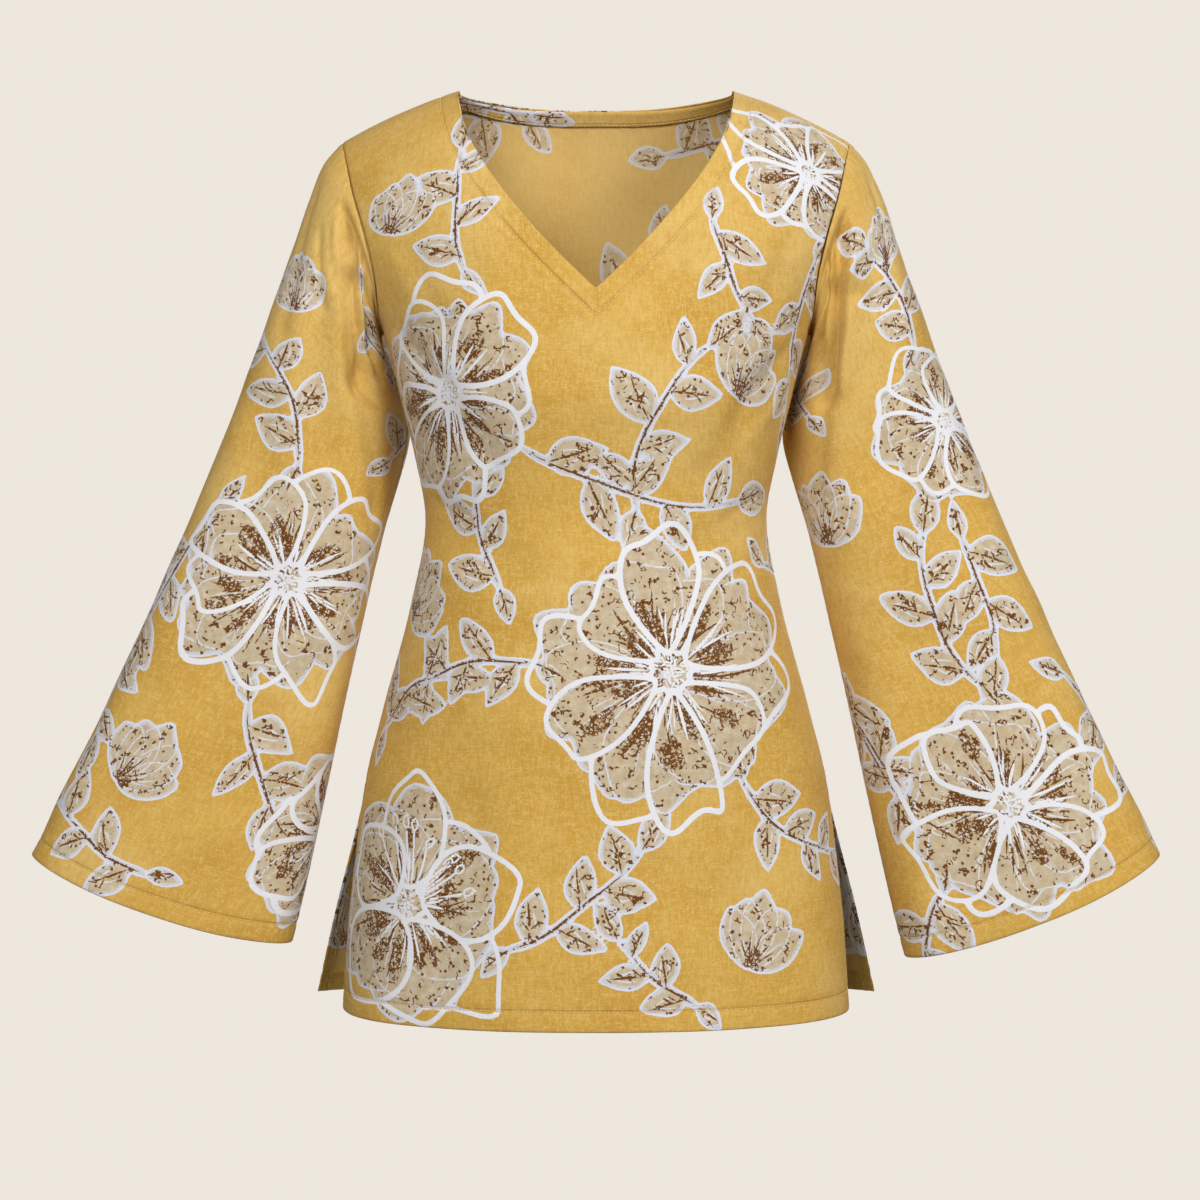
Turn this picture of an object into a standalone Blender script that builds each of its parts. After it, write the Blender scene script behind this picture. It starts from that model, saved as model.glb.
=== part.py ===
"""A hip-length tunic top with a V neck, long flared sleeves and side slits, filled out as it is worn.

Metres, +Z up, and the front faces -Y. The origin is midway between the two high shoulder points, where
the shoulder seams meet the neck. Each cut piece is one wall of cloth: the front, the back, two sleeves and
the facing inside the back neck. A height is measured before the shoulders are sloped, so that a piece's
rows run level round the body and then bend down along the shoulder seams.
"""

import math
from collections import namedtuple

import bpy
import numpy as np

# Cloth
CLOTH = 0.0012  # one layer of the modelled wall
TURNED = 0.0020  # where the edge is turned up and sewn
HEM = 0.020  # depth of the turned hem, at the bottom and at the cuffs
SEAM_GAP = 0.0005  # between two pieces that are sewn together
SLEEVE_GAP = 0.0004
CROWN_GAP = 0.0005  # more at the top of a sleeve, where the two walls lean towards each other inside

# Body
NECK_HALF = 0.107  # from the middle to a high shoulder point
V_DEPTH = 0.168  # from the shoulder down to the point of the V
V_BOW = 1.85  # 1 is a straight V, more bows its sides outwards
BACK_NECK_DROP = 0.020
BACK_NECK_ROUND = 2.4  # 2 is an ellipse, more is squarer
SHOULDER_HALF = 0.199  # from the middle to the top of a sleeve seam
SHOULDER_DROP = 0.040
UNDERARM = -0.190
SLOPE_FADE = 0.220  # how far down the slope of the shoulders is felt
BUST = -0.240
CHEST_DEPTH = 0.128
CHEST_ROUND = 2.3  # how squarely the chest turns over into the shoulders
BLADE_DEPTH = 0.098
BLADE_ROUND = 3.0
SECTION_ROUND = 2.3  # 2 is an ellipse, more is squarer
HEM_DIP = 0.005  # the hem hangs this much lower at the middle than at the sides
BACK_SHORTER = 0.006  # the back's hem is lifted this much

# Facing
FACING_DEPTH = 0.012
FACING_RISE = 0.0083  # how much further back the facing's lower edge lies
FACING_GAP = 0.0009  # between the facing and the back that it lines
FACING_REACH = 0.7  # how much of the last step towards each shoulder seam it covers

# How finely the pieces are divided
HALF_COLUMNS = 13
LOWER_ROWS = 21
FRONT_UPPER_ROWS = 13
BLADE_ROWS = 9
NECK_ROWS = 8
RING_POINTS = FRONT_UPPER_ROWS + BLADE_ROWS + NECK_ROWS
FACING_ROWS = 3
SETTLE = 8  # rounds until a height and an angle agree
FINE = 160  # steps along a row before it is divided evenly
HELD_COLUMNS = 2  # next to a seam, where the folds die away
TINY = 1e-6
STEP = 0.0005  # for the slope of the surface, in metres or radians
NEAR = 0.98  # a share of an angle, just inside an edge
ROUGHNESS = 0.85

Section = namedtuple("Section", "height half_width depth set_back edge")
# edge is how far from the middle the piece ends: at the side seam, the slit or the armhole
FRONT_SECTIONS = [
    Section(-0.713, 0.1965, 0.113, -0.022, 0.1965),
    Section(-0.640, 0.1920, 0.117, -0.012, 0.1920),
    Section(-0.590, 0.1870, 0.121, -0.004, 0.1870),
    Section(-0.543, 0.1810, 0.123, 0.000, 0.1810),
    Section(-0.477, 0.1650, 0.122, 0.000, 0.1650),
    Section(-0.398, 0.1440, 0.116, 0.000, 0.1440),
    Section(-0.335, 0.1335, 0.111, 0.000, 0.1335),
    Section(-0.285, 0.1420, 0.119, 0.000, 0.1420),
    Section(-0.240, 0.1530, 0.128, 0.000, 0.1530),
    Section(-0.190, 0.1660, 0.126, 0.000, 0.1660),
    Section(-0.175, 0.1725, 0.123, 0.000, 0.1680),
    Section(-0.150, 0.1830, 0.118, 0.000, 0.1695),
    Section(-0.112, 0.1990, 0.108, 0.000, 0.1755),
    Section(-0.058, 0.2140, 0.087, 0.000, 0.1870),
    Section(-0.012, 0.2200, 0.047, 0.000, 0.1960),
    Section(0.000, 0.2210, 0.000, 0.000, 0.1990),
]
BACK_SECTIONS = [
    Section(-0.717, 0.2400, 0.115, 0.010, 0.2246),
    Section(-0.640, 0.2170, 0.117, 0.003, 0.2070),
    Section(-0.590, 0.1975, 0.117, 0.000, 0.1935),
    Section(-0.543, 0.1810, 0.116, 0.000, 0.1810),
    Section(-0.477, 0.1650, 0.112, 0.000, 0.1650),
    Section(-0.398, 0.1440, 0.096, 0.000, 0.1440),
    Section(-0.335, 0.1335, 0.084, 0.000, 0.1335),
    Section(-0.285, 0.1420, 0.087, 0.000, 0.1420),
    Section(-0.240, 0.1530, 0.094, 0.000, 0.1530),
    Section(-0.190, 0.1660, 0.098, 0.000, 0.1660),
    Section(-0.175, 0.1725, 0.098, 0.000, 0.1680),
    Section(-0.150, 0.1830, 0.097, 0.000, 0.1705),
    Section(-0.112, 0.1990, 0.092, 0.000, 0.1770),
    Section(-0.058, 0.2140, 0.079, 0.000, 0.1875),
    Section(-0.012, 0.2200, 0.049, 0.000, 0.1960),
    Section(0.000, 0.2210, 0.000, 0.000, 0.1990),
]
SLIT_TOP = -0.543

# The sleeve's line along the top of the arm and its line under the arm, with its depth between them
Station = namedtuple("Station", "along top_x top_z under_x under_z depth set_back")
SLEEVE_STATIONS = [
    Station(0.000, 0.1990, -0.040, 0.1660, -0.190, 0.050, 0.000),
    Station(0.018, 0.2130, -0.057, 0.1680, -0.189, 0.052, 0.000),
    Station(0.045, 0.2245, -0.084, 0.1685, -0.196, 0.055, 0.000),
    Station(0.090, 0.2385, -0.126, 0.1645, -0.214, 0.057, 0.000),
    Station(0.140, 0.2545, -0.171, 0.1595, -0.236, 0.056, 0.001),
    Station(0.190, 0.2705, -0.214, 0.1550, -0.262, 0.055, 0.002),
    Station(0.250, 0.2915, -0.269, 0.1600, -0.310, 0.053, 0.002),
    Station(0.330, 0.3220, -0.343, 0.1770, -0.388, 0.051, 0.000),
    Station(0.410, 0.3550, -0.418, 0.1945, -0.467, 0.050, -0.004),
    Station(0.490, 0.3900, -0.495, 0.2115, -0.550, 0.050, -0.009),
    Station(0.560, 0.4210, -0.557, 0.2265, -0.621, 0.051, -0.014),
    Station(0.605, 0.4385, -0.595, 0.2365, -0.664, 0.052, -0.018),
]
CAP = 0.150  # how far along the sleeve the armhole's own shape is felt
CUFF_DIP = 0.009  # the cuff's front and back are this much longer than its two creases
UNDER_LONGER = {"left": 0.012, "right": 0.0}  # the cuff hangs this much lower at its inner side
SIDES = {"left": 1, "right": -1}  # the wearer's left is +X
SLEEVE_ROWS = [
    *(0.010, 0.020, 0.034, 0.050, 0.068, 0.088, 0.110, 0.133, 0.157, 0.182, 0.208, 0.235),
    *(0.263, 0.293, 0.325, 0.358, 0.393, 0.430, 0.468, 0.506, 0.545, 0.583, 0.585, 0.605),
]

# Soft folds, as a line on the cloth that sinks in by depth over width on each side of it. On the body,
# across is measured along the cloth from the middle, and on a sleeve it is the turn round the arm in degrees:
# 0 along the top, 90 at the front, 180 under the arm.
Fold = namedtuple("Fold", "across height across_end height_end width depth")
FRONT_FOLDS = [
    Fold(-0.150, -0.215, -0.085, -0.290, 0.016, 0.0030),
    Fold(0.155, -0.220, 0.090, -0.300, 0.016, 0.0030),
    Fold(-0.120, -0.345, -0.060, -0.375, 0.018, 0.0025),
    Fold(0.120, -0.345, 0.070, -0.365, 0.018, 0.0025),
    Fold(-0.105, -0.520, -0.125, -0.717, 0.030, 0.0040),
    Fold(0.110, -0.540, 0.130, -0.717, 0.030, 0.0040),
]
BACK_FOLDS = [
    Fold(-0.150, -0.215, -0.080, -0.270, 0.018, 0.0030),
    Fold(0.150, -0.210, 0.085, -0.280, 0.018, 0.0030),
    Fold(-0.130, -0.350, 0.020, -0.362, 0.016, 0.0030),
    Fold(0.130, -0.335, -0.010, -0.325, 0.016, 0.0025),
    Fold(-0.080, -0.480, -0.110, -0.717, 0.032, 0.0050),
    Fold(0.070, -0.500, 0.100, -0.717, 0.032, 0.0050),
]
PER_DEGREE = 0.00125  # cloth round the arm for each degree of turn
SLEEVE_FOLDS = {
    "left": [
        Fold(112.0, 0.030, 128.0, 0.150, 0.017, 0.0100),
        Fold(75.0, 0.090, 100.0, 0.250, 0.018, 0.0050),
        Fold(50.0, 0.200, 75.0, 0.330, 0.022, 0.0035),
        Fold(-110.0, 0.040, -130.0, 0.160, 0.018, 0.0090),
        Fold(-70.0, 0.120, -95.0, 0.300, 0.022, 0.0045),
        Fold(100.0, 0.400, 108.0, 0.605, 0.030, 0.0045),
        Fold(-80.0, 0.380, -72.0, 0.605, 0.030, 0.0060),
    ],
    "right": [
        Fold(110.0, 0.035, 130.0, 0.160, 0.018, 0.0110),
        Fold(80.0, 0.110, 98.0, 0.240, 0.016, 0.0045),
        Fold(60.0, 0.230, 88.0, 0.350, 0.022, 0.0035),
        Fold(-112.0, 0.040, -130.0, 0.150, 0.018, 0.0090),
        Fold(-75.0, 0.130, -100.0, 0.310, 0.022, 0.0045),
        Fold(85.0, 0.420, 95.0, 0.605, 0.030, 0.0040),
        Fold(-85.0, 0.400, -75.0, 0.605, 0.030, 0.0060),
    ],
}

MUSTARD = (0.62, 0.38, 0.08, 1.0)


# --------------------------------------------------------------------------- curves through short tables


def follow(table, name, at):
    """A column of the table at any value of its first column, on a smooth curve that never overshoots."""
    known = np.array([row[0] for row in table])
    values = np.array([getattr(row, name) for row in table])
    steps = np.diff(known)
    slopes = np.diff(values) / steps
    before, after = slopes[:-1], slopes[1:]
    same_way = before * after > 0
    both = np.where(same_way, before + after, 1.0)
    middle = np.where(same_way, 2 * before * after / both, 0.0)
    tangents = np.concatenate([slopes[:1], middle, slopes[-1:]])
    at = np.asarray(at, float)
    i = np.clip(np.searchsorted(known, at, side="right") - 1, 0, len(steps) - 1)
    t = (at - known[i]) / steps[i]
    start = values[i] * (1 + 2 * t) + tangents[i] * steps[i] * t
    end = values[i + 1] * (3 - 2 * t) + tangents[i + 1] * steps[i] * (t - 1)
    return start * (1 - t) ** 2 + end * t**2


def eased(t):
    """0 to 1 as t goes from 0 to 1, level at both ends."""
    t = np.clip(t, 0, 1)
    return t * t * (3 - 2 * t)


def sink(folds, across, height, scale=1.0):
    """How far the cloth sinks in at each point, for all the folds together."""
    across, height = np.broadcast_arrays(np.asarray(across, float), np.asarray(height, float))
    total = np.zeros(across.shape)
    for fold in folds:
        run = np.array([(fold.across_end - fold.across) * scale, fold.height_end - fold.height])
        from_start = np.array([(across - fold.across) * scale, height - fold.height])
        share = np.clip(np.tensordot(run, from_start, 1) / (run @ run), 0, 1)
        off = np.hypot(from_start[0] - share * run[0], from_start[1] - share * run[1])
        total = total + fold.depth * np.exp(-((off / fold.width) ** 2))
    return total


# --------------------------------------------------------------------------- the body's surface


def depth_at(sections, height):
    """How far a panel stands out from the side seams. Above the bust or shoulder blades it rounds over."""
    front = sections is FRONT_SECTIONS
    top, depth, power = (
        (BUST, CHEST_DEPTH, CHEST_ROUND) if front else (UNDERARM, BLADE_DEPTH, BLADE_ROUND)
    )
    share = np.clip((height - top) / -top, 0, 1)
    rounded = depth * (1 - share**2) ** (1 / power)
    return np.where(height > top, rounded, follow(sections, "depth", np.minimum(height, top)))


def body_point(sections, height, angle):
    """A point on the body. The angle is 0 at the middle and a quarter turn at the side seam."""
    sign = -1 if sections is FRONT_SECTIONS else 1
    power = 2 / SECTION_ROUND
    height = height + 0.0 * angle
    half = follow(sections, "half_width", height)
    x = half * np.sin(angle) ** power
    out = depth_at(sections, height) * np.cos(angle) ** power
    y = follow(sections, "set_back", height) + sign * (SEAM_GAP / 2 + out)
    slope = SHOULDER_DROP / (SHOULDER_HALF**2 - NECK_HALF**2)
    felt = eased(1 + height / SLOPE_FADE)
    z = height - slope * (x**2 - NECK_HALF**2) * felt
    hang = eased((SLIT_TOP - height) / (SLIT_TOP - sections[0].height))
    lift = 0 if sign < 0 else BACK_SHORTER
    z = z + hang * (lift - HEM_DIP * np.cos(angle))
    return np.stack([x, y, z], -1)


def angle_of(sections, height, x):
    """The angle at which the body is x from the middle."""
    half = follow(sections, "half_width", height)
    return np.arcsin(np.clip(x / half, 0, 1) ** (SECTION_ROUND / 2))


def neck_x(sections, height):
    """How far from the middle the neck is cut at this height."""
    if sections is FRONT_SECTIONS:
        share = np.clip(-height / V_DEPTH, 0, 1)
        return NECK_HALF * (1 - share**V_BOW)
    deepest = depth_at(sections, np.array(-BACK_NECK_DROP))
    share = np.clip(depth_at(sections, height) / deepest, 0, 1)
    return NECK_HALF * (1 - share**BACK_NECK_ROUND) ** (1 / BACK_NECK_ROUND)


def back_height(y, angle):
    """The height at which the back stands out this far, near the neck."""
    share = np.clip(y / np.cos(angle) ** (2 / SECTION_ROUND) / BLADE_DEPTH, 0, 1)
    return UNDERARM * (1 - np.sqrt(1 - share**BLADE_ROUND))


def neck_curve(share):
    """The back neck from above, from shoulder to shoulder. A share of 1 is the facing's lower edge."""
    deepest = depth_at(BACK_SECTIONS, np.array(-BACK_NECK_DROP))
    turn = np.linspace(0, math.pi, 2 * NECK_ROWS + 1)
    power = 2 / BACK_NECK_ROUND
    x = (NECK_HALF + FACING_DEPTH * share) * np.sign(np.cos(turn)) * abs(np.cos(turn)) ** power
    return x, (deepest + FACING_RISE * share) * np.sin(turn).clip(0) ** power


def half_row(sections, height):
    """Points spaced evenly along the cloth, from the middle or the neck out to the panel's edge, with how far
    each is from the middle."""
    start = angle_of(sections, height, neck_x(sections, height))
    end = angle_of(sections, height, follow(sections, "edge", height))
    angles = start + (end - start) * np.linspace(0, 1, FINE + 1)
    line = body_point(sections, height, angles)
    run = np.concatenate([[0], np.cumsum(np.linalg.norm(np.diff(line, axis=0), axis=1))])
    even = np.linspace(0, run[-1], HALF_COLUMNS + 1)
    points = np.stack([np.interp(even, run, line[:, k]) for k in range(3)], -1)
    return points, even + neck_x(sections, height)


def row_heights(sections):
    """Level rows from the hem to the shoulder, closer together where the shoulder rounds over."""
    front = sections is FRONT_SECTIONS
    bottom = sections[0].height
    lower = np.linspace(bottom + HEM, UNDERARM, LOWER_ROWS + 1)
    lower[np.argmin(abs(lower - SLIT_TOP))] = SLIT_TOP
    rows, last = (FRONT_UPPER_ROWS, 1.0) if front else (BLADE_ROWS, 1 + BACK_NECK_DROP / UNDERARM)
    upper = UNDERARM * (1 - np.sin(np.linspace(0, math.asin(last), rows + 1)[1:]))
    if front:
        upper[np.argmin(abs(upper + V_DEPTH))] = -V_DEPTH
    else:
        upper = np.concatenate([upper, back_height(neck_curve(0)[1][NECK_ROWS + 1 :], 0.0)])
    return np.concatenate([[bottom, bottom + HEM - CLOTH], lower, upper])


# --------------------------------------------------------------------------- meshes


def clear_scene():
    for old in list(bpy.data.objects):
        bpy.data.objects.remove(old, do_unlink=True)


def cloth_material(name):
    material = bpy.data.materials.new(name)
    material.use_nodes = True
    shader = material.node_tree.nodes["Principled BSDF"]
    shader.inputs["Base Color"].default_value = MUSTARD
    shader.inputs["Roughness"].default_value = ROUGHNESS
    shader.inputs["Metallic"].default_value = 0.0
    return material


def cloth_piece(name, points, faces, turned, collection):
    """An open sheet through the points, thickened inwards, and thicker where it is turned and sewn."""
    mesh = bpy.data.meshes.new(name)
    mesh.from_pydata([tuple(p) for p in points], [], faces)
    piece = bpy.data.objects.new(name, mesh)
    collection.objects.link(piece)
    mesh.materials.append(cloth_material(name + "_cloth"))
    mesh.shade_smooth()
    sewn = piece.vertex_groups.new(name="turned")
    sewn.add([i for i, is_turned in enumerate(turned) if is_turned], 1.0, "REPLACE")
    wall = piece.modifiers.new("wall", "SOLIDIFY")
    wall.thickness = TURNED
    wall.offset = -1
    wall.vertex_group = sewn.name
    wall.thickness_vertex_group = CLOTH / TURNED
    return piece


def panel(name, sections, folds, collection):
    """The front or the back, as two halves that share the middle line up to the neck, with its folds."""
    heights = row_heights(sections)
    neck_row = int(np.argmax(neck_x(sections, heights) > TINY)) - 1
    points, turned, index = [], [], {}
    for row, height in enumerate(heights):
        half, across = half_row(sections, height)
        axis = np.array([0.0, follow(sections, "set_back", height)])
        for side in (-1, 1):
            for column in range(HALF_COLUMNS + 1):
                if column == 0 and row <= neck_row and side == 1:
                    index[side, column, row] = index[-1, 0, row]
                    continue
                point = half[column] * (side, 1, 1)
                outward = point[:2] - axis
                outward = outward / max(np.linalg.norm(outward), TINY)
                depth = sink(folds, side * across[column], height)
                held = eased((HALF_COLUMNS - column) / HELD_COLUMNS)
                point[:2] -= outward * depth * held
                index[side, column, row] = len(points)
                points.append(point)
                at_hem = height < heights[0] + HEM - CLOTH / 2
                at_slit = height < SLIT_TOP and column >= HALF_COLUMNS - 1
                turned.append(at_hem or at_slit)
    faces = []
    forward = sections is FRONT_SECTIONS
    for side in (-1, 1):
        for row in range(len(heights) - 1):
            for column in range(HALF_COLUMNS):
                corners = [(column, row), (column + 1, row), (column + 1, row + 1), (column, row + 1)]
                face = [index[side, c, r] for c, r in corners]
                faces.append(face if (side == 1) == forward else face[::-1])
    return cloth_piece(name, points, faces, turned, collection)


# --------------------------------------------------------------------------- sleeves


def armhole():
    """The armhole as one loop, from the shoulder down the front and up the back through the panels' own edge
    points, with the way that the sleeve's cloth leaves the body's at each point."""
    points, ways = [], []
    for sections in (FRONT_SECTIONS, BACK_SECTIONS):
        heights = row_heights(sections)[::-1]
        heights = heights[heights >= UNDERARM]
        angles = angle_of(sections, heights, follow(sections, "edge", heights))
        line = body_point(sections, heights, angles)
        inner = body_point(sections, heights, angles * NEAR)
        tangent = np.gradient(line, axis=0)
        across = line - inner
        along = (across * tangent).sum(axis=1) / (tangent * tangent).sum(axis=1)
        way = across - tangent * along[:, None]
        points.append(line)
        ways.append(way / np.linalg.norm(way, axis=1)[:, None])
    ends = [(points[0][k] + points[1][k]) / 2 for k in (0, -1)]
    way_ends = [ways[0][k] + ways[1][k] for k in (0, -1)]
    loop = np.concatenate([[ends[0]], points[0][1:-1], [ends[1]], points[1][-2:0:-1]])
    out = np.concatenate([[way_ends[0]], ways[0][1:-1], [way_ends[1]], ways[1][-2:0:-1]])
    return loop, out / np.linalg.norm(out, axis=1)[:, None]


def sleeve_ring(along, turns, under_longer=0.0):
    """A ring round the arm. A turn of 0 is along the top, a quarter at the front and a half under the arm."""
    at = {name: follow(SLEEVE_STATIONS, name, along) for name in Station._fields[1:]}
    share = (along / SLEEVE_STATIONS[-1].along) ** 3
    top = np.array([at["top_x"], 0.0, at["top_z"]])
    under = np.array([at["under_x"], 0.0, at["under_z"]])
    angle = 2 * math.pi * turns
    power = 2 / SECTION_ROUND
    across = np.sign(np.cos(angle)) * abs(np.cos(angle)) ** power
    deep = np.sign(np.sin(angle)) * abs(np.sin(angle)) ** power
    ring = (top + under) / 2 + across[:, None] * (top - under) / 2
    ring[:, 1] = at["set_back"] - deep * at["depth"]
    down = np.array([top[2] - under[2], 0.0, under[0] - top[0]])
    down /= np.linalg.norm(down)
    longer = CUFF_DIP * np.sin(angle) ** 2 + under_longer * (1 - np.cos(angle)) / 2
    return ring + share * longer[:, None] * down


def sleeve(name, hand, collection):
    """A sleeve from its armhole to its cuff. The first rings carry on from the body's cloth."""
    loop, way = armhole()
    side = SIDES[hand]
    front_turns = np.linspace(0, 0.5, FRONT_UPPER_ROWS, endpoint=False)
    turns = np.concatenate([front_turns, np.linspace(0.5, 1, RING_POINTS - FRONT_UPPER_ROWS, endpoint=False)])
    left_over = loop - sleeve_ring(0.0, turns)
    over_the_top = np.cos(2 * math.pi * turns).clip(0) ** 2
    rings = [loop + way * (SLEEVE_GAP + CROWN_GAP * over_the_top)[:, None]]
    degrees = (turns * 360 + 180) % 360 - 180
    for along in SLEEVE_ROWS:
        fade = 1 - eased(along / CAP)
        ring = sleeve_ring(along, turns, UNDER_LONGER[hand]) + left_over * fade
        middle = ring.mean(axis=0)
        outward = ring - middle
        outward /= np.linalg.norm(outward, axis=1)[:, None]
        ring -= outward * sink(SLEEVE_FOLDS[hand], degrees, along, scale=PER_DEGREE)[:, None]
        rings.append(ring)
    rings = np.array(rings) * (side, 1, 1)
    points = rings.reshape(-1, 3)
    hem_starts = SLEEVE_ROWS[-1] - HEM - CLOTH / 2
    turned = [along > hem_starts for along in [0.0, *SLEEVE_ROWS] for _ in turns]
    faces = []
    for row in range(len(rings) - 1):
        for k in range(RING_POINTS):
            after = (k + 1) % RING_POINTS
            corners = [(row, k), (row, after), (row + 1, after), (row + 1, k)]
            face = [r * RING_POINTS + c for r, c in corners]
            faces.append(face if side == 1 else face[::-1])
    return cloth_piece(name, points, faces, turned, collection)


# --------------------------------------------------------------------------- facing


def body_normal(sections, height, angle):
    """The way out of the body's surface, square to it."""
    below = body_point(sections, height - STEP, angle)
    up = body_point(sections, height, angle) - below
    around = body_point(sections, height - STEP, angle + STEP) - below
    normal = np.cross(around, up) * (-1 if sections is BACK_SECTIONS else 1)
    return normal / np.linalg.norm(normal, axis=-1)[..., None]


def back_neck_facing(name, collection):
    """The strip inside the back neck, from near one shoulder seam to the other, just inside the back."""
    points = []
    for share in np.linspace(0, 1, FACING_ROWS + 1):
        x, y = neck_curve(share)
        x[[0, -1]] = x[[1, -2]] + (x[[0, -1]] - x[[1, -2]]) * FACING_REACH
        y[[0, -1]] = y[[1, -2]] * (1 - FACING_REACH)
        height = 0.0 * y
        for _ in range(SETTLE):
            angle = angle_of(BACK_SECTIONS, height, abs(x))
            height = back_height(y, angle)
        outer = body_point(BACK_SECTIONS, height, angle)
        inner = outer - body_normal(BACK_SECTIONS, height, angle) * (CLOTH + FACING_GAP)
        inner[:, 0] *= np.where(x < 0, -1, 1)
        points.extend(inner)
    wide = 2 * NECK_ROWS + 1
    faces = [
        [r * wide + c, (r + 1) * wide + c, (r + 1) * wide + c + 1, r * wide + c + 1]
        for r in range(FACING_ROWS)
        for c in range(wide - 1)
    ]
    return cloth_piece(name, points, faces, [False] * len(points), collection)


def main():
    clear_scene()
    collection = bpy.data.collections.new("tunic_top")
    bpy.context.scene.collection.children.link(collection)
    panel("front", FRONT_SECTIONS, FRONT_FOLDS, collection)
    panel("back", BACK_SECTIONS, BACK_FOLDS, collection)
    for hand in SIDES:
        sleeve("sleeve_" + hand, hand, collection)
    back_neck_facing("back_neck_facing", collection)


main()
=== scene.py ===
# %% [markdown]
# # A V-neck tunic top, filled out as it is worn
#
# The tunic is cut from one printed cloth, a light linen with slubs in it, in five pieces: a front, a
# back, two flared sleeves and a narrow facing inside the back neck. It has slits at the sides and deep
# turned hems. The packed model holds plain walls of cloth in their right places. This lesson lays a finer
# sheet of cloth on the form of each wall, creases it, prints it with flowers and sews it.

# %% Load the packed model
import math
from collections import namedtuple

import bpy
import numpy as np
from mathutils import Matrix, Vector
from mathutils.bvhtree import BVHTree
from mathutils.geometry import barycentric_transform


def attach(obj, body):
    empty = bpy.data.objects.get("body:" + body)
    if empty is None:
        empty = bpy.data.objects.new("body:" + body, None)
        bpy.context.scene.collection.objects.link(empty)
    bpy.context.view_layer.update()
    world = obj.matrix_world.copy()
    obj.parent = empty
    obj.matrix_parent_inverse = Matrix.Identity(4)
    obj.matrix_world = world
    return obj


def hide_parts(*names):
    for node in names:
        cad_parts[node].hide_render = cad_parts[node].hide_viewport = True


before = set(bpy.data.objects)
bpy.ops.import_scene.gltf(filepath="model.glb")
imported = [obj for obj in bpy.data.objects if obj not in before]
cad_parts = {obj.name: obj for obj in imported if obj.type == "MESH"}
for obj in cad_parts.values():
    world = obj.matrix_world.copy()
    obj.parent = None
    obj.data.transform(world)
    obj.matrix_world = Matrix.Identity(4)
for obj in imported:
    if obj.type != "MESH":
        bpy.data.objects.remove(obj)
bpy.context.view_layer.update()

# %% [markdown]
# ## The studio
# The tunic hangs in front of a pale backdrop with no shadow on it, as in a catalogue. A backdrop that glows
# evenly for the camera, and lights the cloth less than it seems to, gives that without any burnt edges. One
# large soft light stands in front on the left and another further round on the right. Between them they light
# both sleeves to their outer edges and leave a soft shade beside the body. A third light, behind and out of
# sight, is only for looking at the back.

# %% Camera
CAMERA_BACK = 2.3
CAMERA_HEIGHT = -0.398
CAMERA_ASIDE = 0.0031
VIEW_WIDTH = 0.942  # what the camera takes in at the origin's distance
FILM = 36.0

camera_data = bpy.data.cameras.new("camera")
camera = bpy.data.objects.new("camera", camera_data)
bpy.context.scene.collection.objects.link(camera)
camera.location = (CAMERA_ASIDE, -CAMERA_BACK, CAMERA_HEIGHT)
camera.rotation_euler = (math.radians(90), 0, 0)
camera_data.sensor_width = FILM
camera_data.lens = FILM * CAMERA_BACK / VIEW_WIDTH
bpy.context.scene.camera = camera
bpy.context.scene.view_settings.view_transform = "Standard"
print("lens", round(camera_data.lens, 1), "mm")


# %% Colours
def rgba(*chart):
    """A colour as Blender counts light, from the 0 to 255 that a paint chart gives."""
    return (*(c / 255 / 12.92 if c < 11 else ((c / 255 + 0.055) / 1.055) ** 2.4 for c in chart), 1.0)


BACKDROP = rgba(237, 231, 222)
print("backdrop", [round(c, 3) for c in BACKDROP[:3]])

# %% Backdrop, floor and lights
FLOOR = -1.02
STAGE_HALF = 6.0
BACKDROP_Y = 4.2
BEND, BEND_STEPS = 0.9, 16  # where the paper curves up from the floor
CAMERA_GLOW = 1.0
OTHER_GLOW = 0.15
MIDDLE = (0, 0, -0.36)  # what the lights are turned to
LIGHTS = (  # name, place, watts, width
    ("left_box", (-0.9, -2.9, 1.0), 71.0, 1.4),
    ("right_box", (1.9, -2.3, 0.7), 57.0, 1.4),
    ("back_card", (0.5, 1.9, 0.6), 42.0, 1.5),
)


def seen_glow(tree, output_name, shader_kind):
    """A glow that the camera sees in full and that lights other things less."""
    nodes = tree.nodes
    nodes.clear()
    out = nodes.new(output_name)
    glow = nodes.new(shader_kind)
    path = nodes.new("ShaderNodeLightPath")
    strength = nodes.new("ShaderNodeMapRange")
    strength.inputs["To Min"].default_value = OTHER_GLOW
    strength.inputs["To Max"].default_value = CAMERA_GLOW
    glow.inputs["Color"].default_value = BACKDROP
    tree.links.new(path.outputs["Is Camera Ray"], strength.inputs["Value"])
    tree.links.new(strength.outputs["Result"], glow.inputs["Strength"])
    tree.links.new(glow.outputs[0], out.inputs["Surface"])


world = bpy.data.worlds.new("studio")
bpy.context.scene.world = world
world.use_nodes = True
seen_glow(world.node_tree, "ShaderNodeOutputWorld", "ShaderNodeBackground")

stage_paint = bpy.data.materials.new("backdrop_paper")
stage_paint.use_nodes = True
seen_glow(stage_paint.node_tree, "ShaderNodeOutputMaterial", "ShaderNodeEmission")

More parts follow.
